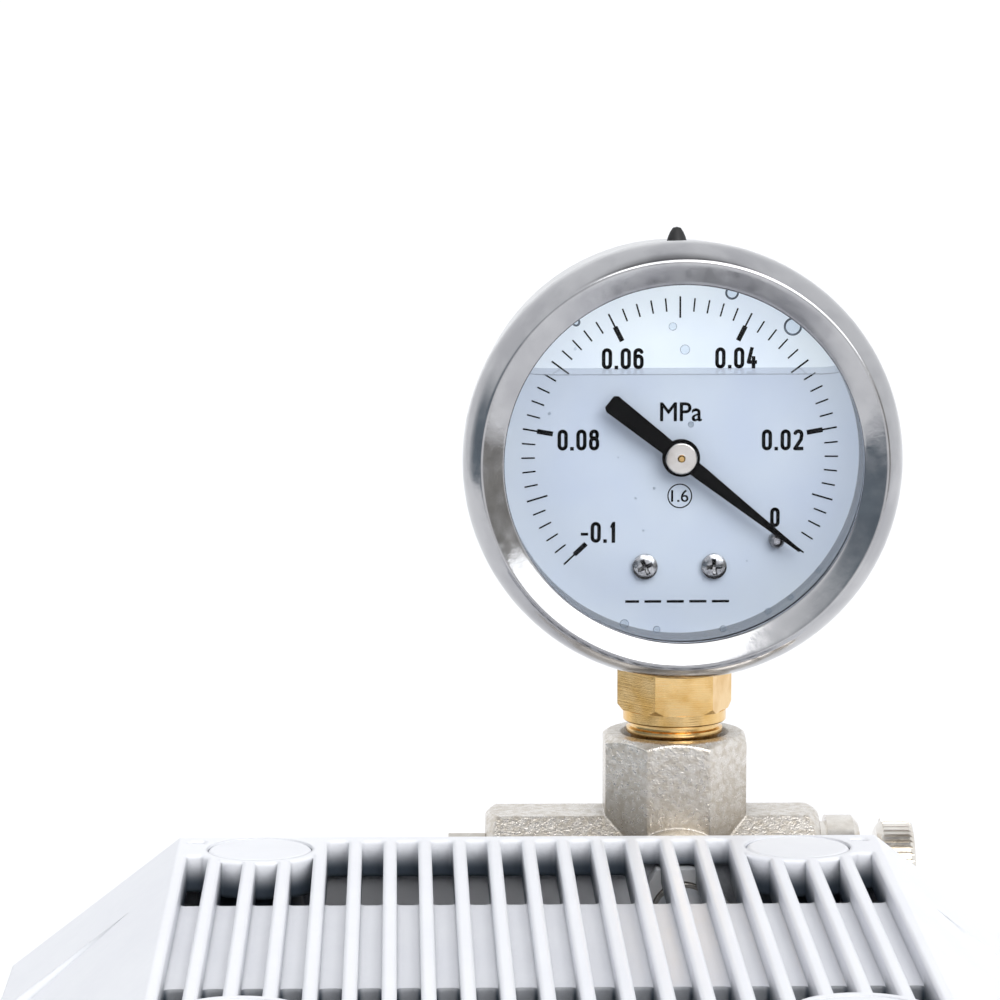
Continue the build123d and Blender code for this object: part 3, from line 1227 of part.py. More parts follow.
TUBE_Z = Z_HEAD + 13.0 + 12.0
with BuildPart() as head_elbows:
    for x in (X_ROD - 12.0, X_ROD + 12.0):
        with BuildSketch(Plane(origin=(x, ROD_Y, Z_HEAD + 9.0))):
            Circle(4.45)
        extrude(amount=4.0)
        with BuildSketch(Plane(origin=(x, ROD_Y, Z_HEAD + 13.0))):
            RegularPolygon(6.0, 6, major_radius=False)
        extrude(amount=5.0)
        with BuildSketch(Plane(origin=(x, ROD_Y, Z_HEAD + 18.0))):
            Circle(4.6)
        extrude(amount=11.0)
        with BuildSketch(Plane(origin=(x, ROD_Y, TUBE_Z), x_dir=(1, 0, 0), z_dir=(0, 1, 0))):
            Circle(4.2)
        extrude(amount=7.0)
        with BuildSketch(Plane(origin=(x, ROD_Y, TUBE_Z), x_dir=(1, 0, 0), z_dir=(0, 1, 0))):
            Circle(3.1)
        extrude(amount=18.0)
        with BuildSketch(Plane(origin=(x, ROD_Y + 19.0, TUBE_Z), x_dir=(1, 0, 0), z_dir=(0, -1, 0))):
            Circle(1.9)
        extrude(amount=19.0, mode=Mode.SUBTRACT)
        with BuildSketch(Plane(origin=(x, ROD_Y, Z_HEAD + 8.0))):
            Circle(1.9)
        extrude(amount=TUBE_Z - Z_HEAD - 8.0, mode=Mode.SUBTRACT)
head_elbows.part.label = "head_elbows"
export_step(head_elbows.part, "parts/head_elbows.step")

# flexible tubes from the head to the two nipples
def tube_route(x0, z0, x1, z1):
    return [
        (x0, ROD_Y + 9.0, z0), (x0, ROD_Y + 22.0, z0), (x1, Y_BACK - 24.0, z1), (x1, Y_BACK - 10.2, z1),
    ]


with BuildPart() as suction_tube:
    with BuildLine():
        FilletPolyline(*tube_route(X_ROD + 12.0, TUBE_Z, X_STEM, Z_RUN), radius=11.0)
    with BuildSketch(Plane(origin=(X_ROD + 12.0, ROD_Y + 9.0, TUBE_Z), x_dir=(1, 0, 0), z_dir=(0, 1, 0))):
        Circle(4.7)
        Circle(3.65, mode=Mode.SUBTRACT)
    sweep()
suction_tube.part.label = "suction_tube"
export_step(suction_tube.part, "parts/suction_tube.step")

with BuildPart() as outlet_tube:
    with BuildLine():
        FilletPolyline(*tube_route(X_ROD - 12.0, TUBE_Z, -16.0, 143.0), radius=11.0)
    with BuildSketch(Plane(origin=(X_ROD - 12.0, ROD_Y + 9.0, TUBE_Z), x_dir=(1, 0, 0), z_dir=(0, 1, 0))):
        Circle(4.7)
        Circle(3.65, mode=Mode.SUBTRACT)
    sweep()
outlet_tube.part.label = "outlet_tube"
export_step(outlet_tube.part, "parts/outlet_tube.step")

# ---------------------------------------------------------------------------
# Cradle under the motor and rubber isolators
# ---------------------------------------------------------------------------
with BuildPart() as motor_cradle:
    box_between(-57.0, 3.0, ROD_Y - 36.0, ROD_Y + 36.0, 22.0, 24.5)
    for x in (-39.0, -18.0):
        box_between(x, x + 3.0, ROD_Y - 30.0, ROD_Y + 30.0, 24.5, 46.0)
    with BuildSketch(on_motor(-58.0)):
        Circle(MOTOR_R + 0.05)
    extrude(amount=62.0, mode=Mode.SUBTRACT)
    with BuildSketch(at_z(21.0)):
        with Locations(*iso_spots):
            Circle(2.25)
    extrude(amount=4.0, mode=Mode.SUBTRACT)
motor_cradle.part.label = "motor_cradle"
export_step(motor_cradle.part, "parts/motor_cradle.step")

with BuildPart() as isolators:
    with BuildSketch(at_z(Z_BASE + 2.5)):
        with Locations(*iso_spots):
            Circle(7.5)
    extrude(amount=22.0 - Z_BASE - 2.5)
    with BuildSketch(at_z(Z_BASE)):
        with Locations(*iso_spots):
            Circle(2.1)
    extrude(amount=17.5)
isolators.part.label = "isolators"
export_step(isolators.part, "parts/isolators.step")
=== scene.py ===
import json
import math

import bmesh
import bpy
from mathutils import Matrix, Vector

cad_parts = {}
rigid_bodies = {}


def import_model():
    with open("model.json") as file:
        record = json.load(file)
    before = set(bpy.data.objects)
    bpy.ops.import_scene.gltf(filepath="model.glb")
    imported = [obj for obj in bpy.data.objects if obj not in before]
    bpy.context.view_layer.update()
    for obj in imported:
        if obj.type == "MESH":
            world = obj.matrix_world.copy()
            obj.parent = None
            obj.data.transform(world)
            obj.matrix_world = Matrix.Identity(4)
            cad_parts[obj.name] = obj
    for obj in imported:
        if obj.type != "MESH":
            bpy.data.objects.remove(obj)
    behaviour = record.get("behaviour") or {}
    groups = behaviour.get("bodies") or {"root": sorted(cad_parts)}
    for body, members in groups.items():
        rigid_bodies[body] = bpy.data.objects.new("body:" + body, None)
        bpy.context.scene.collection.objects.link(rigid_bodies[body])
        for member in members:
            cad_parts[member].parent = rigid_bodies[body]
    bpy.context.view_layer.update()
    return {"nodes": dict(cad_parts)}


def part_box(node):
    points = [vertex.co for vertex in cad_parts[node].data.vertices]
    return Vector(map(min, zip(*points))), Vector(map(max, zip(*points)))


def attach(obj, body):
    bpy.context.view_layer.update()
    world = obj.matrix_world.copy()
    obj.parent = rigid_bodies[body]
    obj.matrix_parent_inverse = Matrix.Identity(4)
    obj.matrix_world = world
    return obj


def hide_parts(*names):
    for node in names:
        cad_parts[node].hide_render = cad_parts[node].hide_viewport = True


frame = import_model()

MM = 0.001
NODES = frame["nodes"]

# reference places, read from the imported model
cover_lo, cover_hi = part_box("top_cover")
Z_TOP = cover_hi[2] / MM
Y_BACK = cover_hi[1] / MM
X_STEM = 23.9
Y_STEM = Y_BACK + 18.0
Z_RUN = Z_TOP - 11.3
GAUGE_Z = Z_TOP + 58.1
YAW = math.radians(0.4)
GX = Vector((math.cos(YAW), math.sin(YAW), 0))
GY = Vector((0, 0, 1))
GN = Vector((math.sin(YAW), -math.cos(YAW), 0))
G0 = Vector((X_STEM, Y_STEM, GAUGE_Z))


def gpt(x, y, z):
    """Dial coordinates in mm to metres in the model's frame."""
    return (G0 + GX * x + GY * y + GN * z) * MM


# ---------------------------------------------------------------- camera
scene = bpy.context.scene
cam_data = bpy.data.cameras.new("camera")
cam_data.sensor_width = 36.0
cam_data.lens = 169.48
cam_data.clip_start, cam_data.clip_end = 0.01, 50.0
cam = bpy.data.objects.new("camera", cam_data)
scene.collection.objects.link(cam)
yaw, pitch, roll = math.radians(1.247), math.radians(7.955), math.radians(0.0)
fwd = Vector((math.sin(yaw) * math.cos(pitch), math.cos(yaw) * math.cos(pitch), -math.sin(pitch)))
right = fwd.cross(Vector((0, 0, 1))).normalized()
up = right.cross(fwd)
right, up = right * math.cos(roll) - up * math.sin(roll), up * math.cos(roll) + right * math.sin(roll)
rot = Matrix((right, up, -fwd)).transposed().to_4x4()
cam.matrix_world = Matrix.Translation(Vector((-19.87, Y_BACK - 718.43, Z_TOP + 152.73)) * MM) @ rot
scene.camera = cam
scene.view_settings.view_transform = "Standard"
scene.view_settings.look = "None"


# ---------------------------------------------------------------- materials
def lin(r, g, b):
    def one(v):
        v /= 255.0
        return v / 12.92 if v <= 0.04045 else ((v + 0.055) / 1.055) ** 2.4
    return (one(r), one(g), one(b), 1.0)


def material(name, color, rough=0.4, metal=0.0, bumps=(), tint=None, rough_mix=None, spec=None, coat=0.0, sss=0.0, ior=None, streak=None):
    """Principled surface with procedural noise for colour, roughness and bump.
    bumps: (scale, distance_mm, detail); tint: (scale, other colour, low, high);
    rough_mix: (scale, low, high); streak: (scale vector, distance_mm)."""
    m = bpy.data.materials.new(name)
    m.use_nodes = True
    nt = m.node_tree
    b = nt.nodes["Principled BSDF"]
    coords = nt.nodes.new("ShaderNodeTexCoord")
    b.inputs["Metallic"].default_value = metal
    b.inputs["Roughness"].default_value = rough
    b.inputs["Base Color"].default_value = color
    if spec is not None:
        b.inputs["Specular IOR Level"].default_value = spec
    if coat:
        b.inputs["Coat Weight"].default_value = coat
        b.inputs["Coat Roughness"].default_value = 0.08
    if sss:
        b.inputs["Subsurface Weight"].default_value = sss
        b.inputs["Subsurface Radius"].default_value = (0.0025, 0.0022, 0.0022)
        b.inputs["Subsurface Scale"].default_value = 1.0
    if ior:
        b.inputs["IOR"].default_value = ior
    if tint:
        scale, other, lo, hi = tint
        n = nt.nodes.new("ShaderNodeTexNoise")
        n.inputs["Scale"].default_value = scale
        n.inputs["Detail"].default_value = 6.0
        nt.links.new(coords.outputs["Object"], n.inputs["Vector"])
        ramp = nt.nodes.new("ShaderNodeMapRange")
        ramp.inputs["From Min"].default_value = lo
        ramp.inputs["From Max"].default_value = hi
        nt.links.new(n.outputs["Fac"], ramp.inputs["Value"])
        mix = nt.nodes.new("ShaderNodeMix")
        mix.data_type = "RGBA"
        mix.inputs[6].default_value = color
        mix.inputs[7].default_value = other
        nt.links.new(ramp.outputs["Result"], mix.inputs[0])
        nt.links.new(mix.outputs[2], b.inputs["Base Color"])
    if rough_mix:
        scale, lo, hi = rough_mix
        n = nt.nodes.new("ShaderNodeTexNoise")
        n.inputs["Scale"].default_value = scale
        n.inputs["Detail"].default_value = 5.0
        nt.links.new(coords.outputs["Object"], n.inputs["Vector"])
        mr = nt.nodes.new("ShaderNodeMapRange")
        mr.inputs["From Min"].default_value = 0.3
        mr.inputs["From Max"].default_value = 0.7
        mr.inputs["To Min"].default_value = lo
        mr.inputs["To Max"].default_value = hi
        nt.links.new(n.outputs["Fac"], mr.inputs["Value"])
        nt.links.new(mr.outputs["Result"], b.inputs["Roughness"])
    last = None
    for scale, dist, detail in bumps:
        n = nt.nodes.new("ShaderNodeTexNoise")
        n.inputs["Scale"].default_value = scale
        n.inputs["Detail"].default_value = detail
        nt.links.new(coords.outputs["Object"], n.inputs["Vector"])
        bp = nt.nodes.new("ShaderNodeBump")
        bp.inputs["Strength"].default_value = 1.0
        bp.inputs["Distance"].default_value = dist * MM
        nt.links.new(n.outputs["Fac"], bp.inputs["Height"])
        if last is not None:
            nt.links.new(last.outputs["Normal"], bp.inputs["Normal"])
        last = bp
    if streak:
        vec, dist = streak
        mp = nt.nodes.new("ShaderNodeMapping")
        mp.inputs["Scale"].default_value = vec
        nt.links.new(coords.outputs["Object"], mp.inputs["Vector"])
        n = nt.nodes.new("ShaderNodeTexNoise")
        n.inputs["Scale"].default_value = 1.0
        n.inputs["Detail"].default_value = 3.0
        nt.links.new(mp.outputs["Vector"], n.inputs["Vector"])
        bp = nt.nodes.new("ShaderNodeBump")
        bp.inputs["Strength"].default_value = 1.0
        bp.inputs["Distance"].default_value = dist * MM
        nt.links.new(n.outputs["Fac"], bp.inputs["Height"])
        if last is not None:
            nt.links.new(last.outputs["Normal"], bp.inputs["Normal"])
        last = bp
    if last is not None:
        nt.links.new(last.outputs["Normal"], b.inputs["Normal"])
    return m


M = {}
M["white"] = material("white_plastic", lin(237, 238, 242), 0.34, bumps=((2600, 0.012, 3), (90, 0.03, 2)), tint=(40, lin(233, 234, 239), 0.35, 0.65), rough_mix=(500, 0.30, 0.42), sss=0.0)
# painted shade: the lower housing takes a darker copy of the cover's white plastic to tone down its brightly lit
# front; the real housing is the same plastic as the cover
M["base"] = material("base_plastic_darker_copy", lin(210, 211, 215), 0.36, bumps=((2600, 0.012, 3), (90, 0.03, 2)), tint=(40, lin(205, 206, 211), 0.35, 0.65), rough_mix=(500, 0.30, 0.42))
M["plug"] = material("plug_plastic", lin(235, 236, 240), 0.4, bumps=((3200, 0.01, 2),), tint=(60, lin(231, 232, 236), 0.35, 0.65), rough_mix=(700, 0.36, 0.48))
M["nickel"] = material("nickel_cast", lin(236, 231, 224), 0.3, 1.0, bumps=((3000, 0.08, 2), (1300, 0.08, 3)), tint=(900, lin(214, 206, 194), 0.42, 0.62), rough_mix=(1800, 0.22, 0.42))
M["nickel_smooth"] = material("nickel_turned", lin(236, 231, 223), 0.2, 1.0, bumps=((2500, 0.006, 2),), tint=(300, lin(220, 213, 203), 0.4, 0.65), rough_mix=(900, 0.16, 0.28))
M["brass"] = material("brass_turned", lin(238, 202, 142), 0.24, 1.0, bumps=((1800, 0.003, 3),), tint=(260, lin(222, 178, 106), 0.42, 0.66), rough_mix=(700, 0.13, 0.24), streak=((150, 150, 5200), 0.009))
M["steel"] = material("stainless_polished", lin(212, 212, 212), 0.13, 1.0, bumps=((2200, 0.003, 2),), tint=(120, lin(196, 197, 198), 0.4, 0.6), rough_mix=(260, 0.08, 0.2))
M["black_rubber"] = material("black_rubber", lin(26, 26, 27), 0.6, bumps=((2400, 0.03, 3),), tint=(500, lin(38, 38, 39), 0.4, 0.65), rough_mix=(800, 0.5, 0.7))
M["print"] = material("dial_print", lin(7, 8, 10), 0.6, spec=0.15, bumps=((5000, 0.003, 2),), rough_mix=(1500, 0.4, 0.55))
M["needle"] = material("needle_black", lin(4, 4, 5), 0.5, spec=0.06, bumps=((4000, 0.004, 2),), rough_mix=(1200, 0.34, 0.5))
M["zinc"] = material("zinc_screw", lin(190, 190, 192), 0.25, 1.0, bumps=((2600, 0.008, 3),), tint=(600, lin(150, 150, 154), 0.4, 0.65), rough_mix=(900, 0.2, 0.4))
M["sheet"] = material("zinc_sheet", lin(172, 175, 178), 0.38, 1.0, bumps=((700, 0.01, 4),), tint=(70, lin(150, 154, 158), 0.38, 0.62), rough_mix=(160, 0.3, 0.5))
M["cast_al"] = material("cast_aluminium", lin(176, 178, 180), 0.5, 0.9, bumps=((1300, 0.05, 3),), tint=(200, lin(150, 152, 155), 0.4, 0.65), rough_mix=(500, 0.42, 0.6))
M["lam"] = material("laminated_steel", lin(96, 98, 102), 0.45, 0.9, bumps=((800, 0.01, 2),), rough_mix=(500, 0.35, 0.55), streak=((2000, 20, 20), 0.05))
M["copper"] = material("enamelled_wire", lin(176, 92, 46), 0.35, 0.6, bumps=((1200, 0.04, 2),), tint=(400, lin(140, 66, 30), 0.4, 0.6), rough_mix=(600, 0.3, 0.45))
M["silicone"] = material("silicone_tube", lin(226, 229, 234), 0.42, bumps=((900, 0.02, 2),), tint=(120, lin(214, 218, 224), 0.4, 0.6), rough_mix=(500, 0.36, 0.5))
M["nylon"] = material("white_nylon", lin(228, 229, 231), 0.45, bumps=((1500, 0.02, 2),), tint=(200, lin(216, 218, 221), 0.4, 0.6), rough_mix=(500, 0.4, 0.55))
M["black_plastic"] = material("black_plastic", lin(28, 28, 30), 0.42, bumps=((2600, 0.015, 3),), tint=(300, lin(36, 36, 38), 0.4, 0.6), rough_mix=(700, 0.36, 0.5))
M["rocker"] = material("rocker_plastic", lin(20, 20, 21), 0.22, bumps=((2000, 0.004, 2),), tint=(300, lin(27, 27, 28), 0.4, 0.6), rough_mix=(600, 0.18, 0.3))
M["lamp"] = material("lamp_lens", lin(40, 150, 70), 0.15, bumps=((900, 0.02, 1),), tint=(300, lin(24, 118, 50), 0.4, 0.6), rough_mix=(500, 0.1, 0.22), coat=0.4)
# painted shade: a dark slate colour standing in for the shade inside the housing; no part is given it
M["pcb_dark"] = material("painted_interior_shade", lin(60, 66, 74), 0.6, bumps=((900, 0.02, 2),), rough_mix=(400, 0.5, 0.7))

def round_edges_and_paint_shade(m, radius=0.0, painted_shade=None, reach=0.02, low=0.0, high=0.5):
    """Rounds the look of small edges, and paints shade into closed recesses by carrying the colour toward a dark
    shade colour where ambient occlusion finds them.
    """
    nt = m.node_tree
    b = nt.nodes["Principled BSDF"]
    if radius:
        bv = nt.nodes.new("ShaderNodeBevel")
        bv.samples = 6
        bv.inputs["Radius"].default_value = radius * MM
        first = None
        for n in nt.nodes:
            if n.bl_idname == "ShaderNodeBump" and not n.inputs["Normal"].is_linked:
                first = n
        nt.links.new(bv.outputs["Normal"], first.inputs["Normal"] if first else b.inputs["Normal"])
    # painted shade: an ambient-occlusion mask darkens the base colour in recesses and crevices
    if painted_shade:
        src = b.inputs["Base Color"].links[0].from_socket if b.inputs["Base Color"].is_linked else None
        ao = nt.nodes.new("ShaderNodeAmbientOcclusion")
        ao.samples = 6
        ao.inputs["Distance"].default_value = reach
        mr = nt.nodes.new("ShaderNodeMapRange")
        mr.interpolation_type = "SMOOTHSTEP"
        mr.inputs["From Min"].default_value = low
        mr.inputs["From Max"].default_value = high
        nt.links.new(ao.outputs["AO"], mr.inputs["Value"])
        mix = nt.nodes.new("ShaderNodeMix")
        mix.data_type = "RGBA"
        mix.inputs[6].default_value = painted_shade
        nt.links.new(mr.outputs["Result"], mix.inputs[0])
        if src is None:
            mix.inputs[7].default_value = b.inputs["Base Color"].default_value
        else:
            nt.links.new(src, mix.inputs[7])
        nt.links.new(mix.outputs[2], b.inputs["Base Color"])


# painted shade: these calls darken the recesses and crevices of the white cover, the cast cross, the metal parts
# inside and the lower housing by ambient occlusion; the plugs only get rounded edges
round_edges_and_paint_shade(M["white"], 0.9, lin(66, 76, 88), 0.03, 0.08, 0.24)
round_edges_and_paint_shade(M["nickel"], 0.5, lin(140, 131, 118), 0.03, 0.28, 0.85)
for k in ("cast_al", "sheet", "lam", "zinc"):
    round_edges_and_paint_shade(M[k], 0.0, lin(50, 57, 66), 0.05, 0.05, 0.6)
round_edges_and_paint_shade(M["plug"], 0.5)
round_edges_and_paint_shade(M["base"], 0.6, lin(66, 76, 88), 0.03, 0.08, 0.24)


def louvre_shade(m, painted_shade):
    """Paints shade on the walls inside the open louvre rows: their colour goes toward a dark shade colour with depth
    below the top plate.
    """
    nt = m.node_tree
    b = nt.nodes["Principled BSDF"]
    tc = nt.nodes.new("ShaderNodeTexCoord")
    sp, sn = nt.nodes.new("ShaderNodeSeparateXYZ"), nt.nodes.new("ShaderNodeSeparateXYZ")
    nt.links.new(tc.outputs["Object"], sp.inputs["Vector"])
    nt.links.new(tc.outputs["Normal"], sn.inputs["Vector"])

    def ranged(source, lo, hi):
        r = nt.nodes.new("ShaderNodeMapRange")
        r.interpolation_type = "SMOOTHSTEP"
        r.inputs["From Min"].default_value = lo
        r.inputs["From Max"].default_value = hi
        nt.links.new(source, r.inputs["Value"])
        return r.outputs["Result"]

    def calc(op, a, c):
        n = nt.nodes.new("ShaderNodeMath")
        n.operation = op
        for k, v in enumerate((a, c)):
            if isinstance(v, (int, float)):
                n.inputs[k].default_value = v
            else:
                nt.links.new(v, n.inputs[k])
        return n.outputs[0]

    depth = calc("SUBTRACT", 1.0, ranged(sp.outputs["Z"], (Z_TOP - 4.6) * MM, (Z_TOP - 0.9) * MM))
    flat = calc("SUBTRACT", 1.0, ranged(sn.outputs["Z"], 0.3, 0.75))
    mid = calc("ABSOLUTE", calc("SUBTRACT", sp.outputs["Y"], (Y_BACK - 61.6) * MM), 0)
    rows = calc("MULTIPLY", ranged(mid, 0.0250, 0.0258), calc("SUBTRACT", 1.0, ranged(mid, 0.0572, 0.0580)))
    wide = calc("SUBTRACT", 1.0, ranged(calc("ABSOLUTE", sp.outputs["X"], 0), 0.0532, 0.0540))
    # painted shade mask: depth below the plate, on walls only, within the open rows
    f = calc("MULTIPLY", calc("MULTIPLY", depth, flat), calc("MULTIPLY", rows, wide))
    mix = nt.nodes.new("ShaderNodeMix")
    mix.data_type = "RGBA"
    nt.links.new(f, mix.inputs[0])
    nt.links.new(b.inputs["Base Color"].links[0].from_socket, mix.inputs[6])
    mix.inputs[7].default_value = painted_shade
    nt.links.new(mix.outputs[2], b.inputs["Base Color"])


# painted shade down the louvre walls of the cover
louvre_shade(M["white"], lin(74, 84, 96))

ASSIGN = {
    "white": ["top_cover"],
    "base": ["lower_housing"],
    "plug": ["cover_plugs"],
    "nickel": ["cross_fitting"],
    "nickel_smooth": ["inlet_barb", "outlet_nipple", "suction_nipple", "valve_body", "valve_needle", "valve_knob", "needle_cap"],
    "brass": ["gauge_socket", "pinion_shaft", "sector_gear", "movement_frame", "bourdon_tube", "tip_link", "inlet_pins"],
    "steel": ["gauge_case", "gauge_bezel"],
    "black_rubber": ["rubber_feet", "isolators", "fill_plug", "gauge_gasket", "diaphragm"],
    "needle": ["needle"],
    "zinc": ["cover_screws", "base_screws", "head_screws", "motor_bolts", "dial_screws", "stop_pin", "motor_bearings", "rod_bearing", "rotor_shaft", "reed_valves", "diaphragm_clamp", "eccentric"],
    "sheet": ["base_plate", "motor_cradle"],
    "cast_al": ["rear_bell", "front_bell", "crankcase", "pump_head", "valve_plate", "connecting_rod"],
    "lam": ["motor_stator", "rotor"],
    "copper": ["motor_windings"],
    "silicone": ["suction_tube", "outlet_tube"],
    "nylon": ["nipple_nuts", "head_elbows"],
    "black_plastic": ["switch_body", "power_inlet", "cooling_fan"],
    "rocker": ["switch_rocker"],
    "lamp": ["indicator_lamp"],
}
MAT_OF = {n: k for k, ns in ASSIGN.items() for n in ns}
for node, key in MAT_OF.items():
    o = NODES[node]
    if len(o.material_slots) == 0:
        o.data.materials.append(M[key])
    for s in o.material_slots:
        s.material = M[key]


# ---------------------------------------------------------------- mesh helpers
def link(name, me, mat, body):
    o = bpy.data.objects.new(name, me)
    scene.collection.objects.link(o)
    if mat is not None:
        me.materials.clear()
        me.materials.append(mat)
    if body:
        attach(o, body)
    return o


def smooth(me, angle=35.0):
    for p in me.polygons:
        p.use_smooth = True
    me.set_sharp_from_angle(angle=math.radians(angle))


def baked(o):
    """Mesh of an object with its modifiers applied."""
    dg = bpy.context.evaluated_depsgraph_get()
    dg.update()
    return bpy.data.meshes.new_from_object(o.evaluated_get(dg), depsgraph=dg)


def refined(node, width, segments=2, angle=28.0, body="root", key=None, name=None):
    """A welded copy of a CAD node with its sharp edges rounded; it takes the node's place."""
    src = NODES[node]
    me = src.data.copy()
    bm = bmesh.new()
    bm.from_mesh(me)
    bm.transform(src.matrix_world)
    bmesh.ops.remove_doubles(bm, verts=bm.verts, dist=0.00001)
    bmesh.ops.dissolve_limit(bm, angle_limit=math.radians(1.0), verts=bm.verts, edges=bm.edges)
    bm.to_mesh(me)
    bm.free()
    if me.has_custom_normals:
        me.attributes.remove(me.attributes["custom_normal"]) if "custom_normal" in me.attributes else None
    tmp = bpy.data.objects.new("tmp", me)
    scene.collection.objects.link(tmp)
    mod = tmp.modifiers.new("b", "BEVEL")
    mod.width = width * MM
    mod.segments = segments
    mod.limit_method = "ANGLE"
    mod.angle_limit = math.radians(angle)
    mod.use_clamp_overlap = True
    mod.miter_outer = "MITER_SHARP"
    out = baked(tmp)
    bpy.data.objects.remove(tmp)
    smooth(out, 40.0)
    tmp = bpy.data.objects.new("tmp", out)
    scene.collection.objects.link(tmp)
    flat = tmp.modifiers.new("w", "WEIGHTED_NORMAL")
    flat.mode = "FACE_AREA"
    flat.weight = 100
    flat.keep_sharp = True
    out = baked(tmp)
    bpy.data.objects.remove(tmp)
    o = link(name or node + "_fine", out, M[key or MAT_OF[node]], body)
    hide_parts(node)
    return o


def lathe_mesh(name, profile, origin, axis, xdir, segs=160, closed=True, angle=35.0):
    """Profile points (radius, height) in mm spun round axis; origin in mm."""
    axis = Vector(axis).normalized()
    xdir = Vector(xdir).normalized()
    ydir = axis.cross(xdir)
    verts, faces = [], []
    rings = []
    for r, h in profile:
        if r < 1e-6:
            rings.append([len(verts)])
            verts.append((Vector(origin) + axis * h) * MM)
        else:
            idx = []
            for i in range(segs):
                a = 2 * math.pi * i / segs
                idx.append(len(verts))
                verts.append((Vector(origin) + axis * h + (xdir * math.cos(a) + ydir * math.sin(a)) * r) * MM)
            rings.append(idx)
    n = len(rings)
    for k in range(n if closed else n - 1):
        a, b = rings[k], rings[(k + 1) % n]
        if len(a) == 1 and len(b) == 1:
            continue
        for i in range(segs):
            j = (i + 1) % segs
            if len(a) == 1:
                faces.append((a[0], b[j], b[i]))
            elif len(b) == 1:
                faces.append((a[i], a[j], b[0]))
            else:
                faces.append((a[i], a[j], b[j], b[i]))
    me = bpy.data.meshes.new(name)
    me.from_pydata([tuple(v) for v in verts], [], faces)
    bm = bmesh.new()
    bm.from_mesh(me)
    bmesh.ops.recalc_face_normals(bm, faces=bm.faces)
    bm.to_mesh(me)
    bm.free()
    smooth(me, angle)
    return me


def rounded(points, radius, steps=5):
    """Closed profile with its corners rounded; points may carry their own radius."""
    out = []
    n = len(points)
    for i, p in enumerate(points):
        r = p[2] if len(p) > 2 else radius
        c = Vector(p[:2])
        if r <= 0:
            out.append(tuple(c))
            continue
        a = Vector(points[i - 1][:2]) - c
        b = Vector(points[(i + 1) % n][:2]) - c
        la, lb = a.length, b.length
        if la < 1e-9 or lb < 1e-9:
            out.append(tuple(c))
            continue
        a, b = a / la, b / lb
        half = a.angle(b, math.pi) / 2
        if half > math.radians(88):
            out.append(tuple(c))
            continue
        t = min(r / math.tan(half), la * 0.48, lb * 0.48)
        rr = t * math.tan(half)
        centre = c + (a + b).normalized() * (rr / math.sin(half))
        s, e = c + a * t - centre, c + b * t - centre
        ang = math.atan2(s.x * e.y - s.y * e.x, s.dot(e))
        for k in range(steps + 1):
            th = ang * k / steps
            out.append((centre.x + s.x * math.cos(th) - s.y * math.sin(th), centre.y + s.x * math.sin(th) + s.y * math.cos(th)))
    return out


def gauge_lathe(name, profile, mat, node=None, body="root", segs=192, closed=True, angle=35.0, x=0.0, y=0.0):
    me = lathe_mesh(name, profile, G0 + GX * x + GY * y, GN, GX, segs, closed, angle)
    o = link(name, me, mat, body)
    if node:
        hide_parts(node)
    return o


# ---------------------------------------------------------------- gauge bezel and glass
bezel_mat = material("bezel_polished", lin(184, 184, 186), 0.13, 1.0, bumps=((2600, 0.002, 2),), tint=(140, lin(170, 170, 173), 0.4, 0.62), rough_mix=(420, 0.09, 0.22), streak=((900, 60, 900), 0.008))
bezel_profile = [(32.4, 10.62), (32.9, 10.62), (33.3, 11.0), (33.62, 12.0), (33.85, 13.2), (33.97, 14.4), (34.0, 15.4), (34.0, 16.6), (33.96, 17.5), (33.86, 18.2), (33.66, 18.95), (33.36, 19.75), (32.95, 20.55), (32.45, 21.35), (31.98, 22.0),
                 (31.82, 22.19), (31.66, 22.33), (31.48, 22.42), (31.3, 22.46), (31.12, 22.46), (30.95, 22.42), (30.6, 22.31), (30.2, 22.18), (29.0, 21.78), (28.25, 21.52), (28.0, 21.42), (27.85, 21.34), (27.72, 21.22), (27.65, 21.05), (27.65, 20.6), (31.4, 20.6), (32.4, 20.3)]
gauge_lathe("gauge_bezel_fine", bezel_profile, bezel_mat, "gauge_bezel", segs=256, angle=50.0)

glass = bpy.data.materials.new("clear_glass")
glass.use_nodes = True
nt = glass.node_tree
for nd in list(nt.nodes):
    nt.nodes.remove(nd)
out = nt.nodes.new("ShaderNodeOutputMaterial")
tr = nt.nodes.new("ShaderNodeBsdfTransparent")
gl = nt.nodes.new("ShaderNodeBsdfGlossy")
fr = nt.nodes.new("ShaderNodeFresnel")
mx = nt.nodes.new("ShaderNodeMixShader")
gm = nt.nodes.new("ShaderNodeMath")
tc = nt.nodes.new("ShaderNodeTexCoord")
gn = nt.nodes.new("ShaderNodeTexNoise")
gr = nt.nodes.new("ShaderNodeMapRange")
gn.inputs["Scale"].default_value = 60.0
gr.inputs["To Min"].default_value = 0.02
gr.inputs["To Max"].default_value = 0.05
nt.links.new(tc.outputs["Object"], gn.inputs["Vector"])
nt.links.new(gn.outputs["Fac"], gr.inputs["Value"])
nt.links.new(gr.outputs["Result"], gl.inputs["Roughness"])
fr.inputs["IOR"].default_value = 1.45
tr.inputs["Color"].default_value = (0.998, 0.999, 1.0, 1.0)
gm.operation = "MULTIPLY"
gm.inputs[1].default_value = 0.12
nt.links.new(fr.outputs["Fac"], gm.inputs[0])
nt.links.new(gm.outputs[0], mx.inputs["Fac"])
nt.links.new(tr.outputs[0], mx.inputs[1])
nt.links.new(gl.outputs[0], mx.inputs[2])
nt.links.new(mx.outputs[0], out.inputs["Surface"])
M["glass"] = glass
glass_profile = rounded([(0, 18.0, 0), (31.3, 18.0), (31.3, 20.5), (0, 20.5, 0)], 0.3, 4)
gauge_lathe("gauge_glass_fine", glass_profile, glass, "gauge_glass", segs=192)

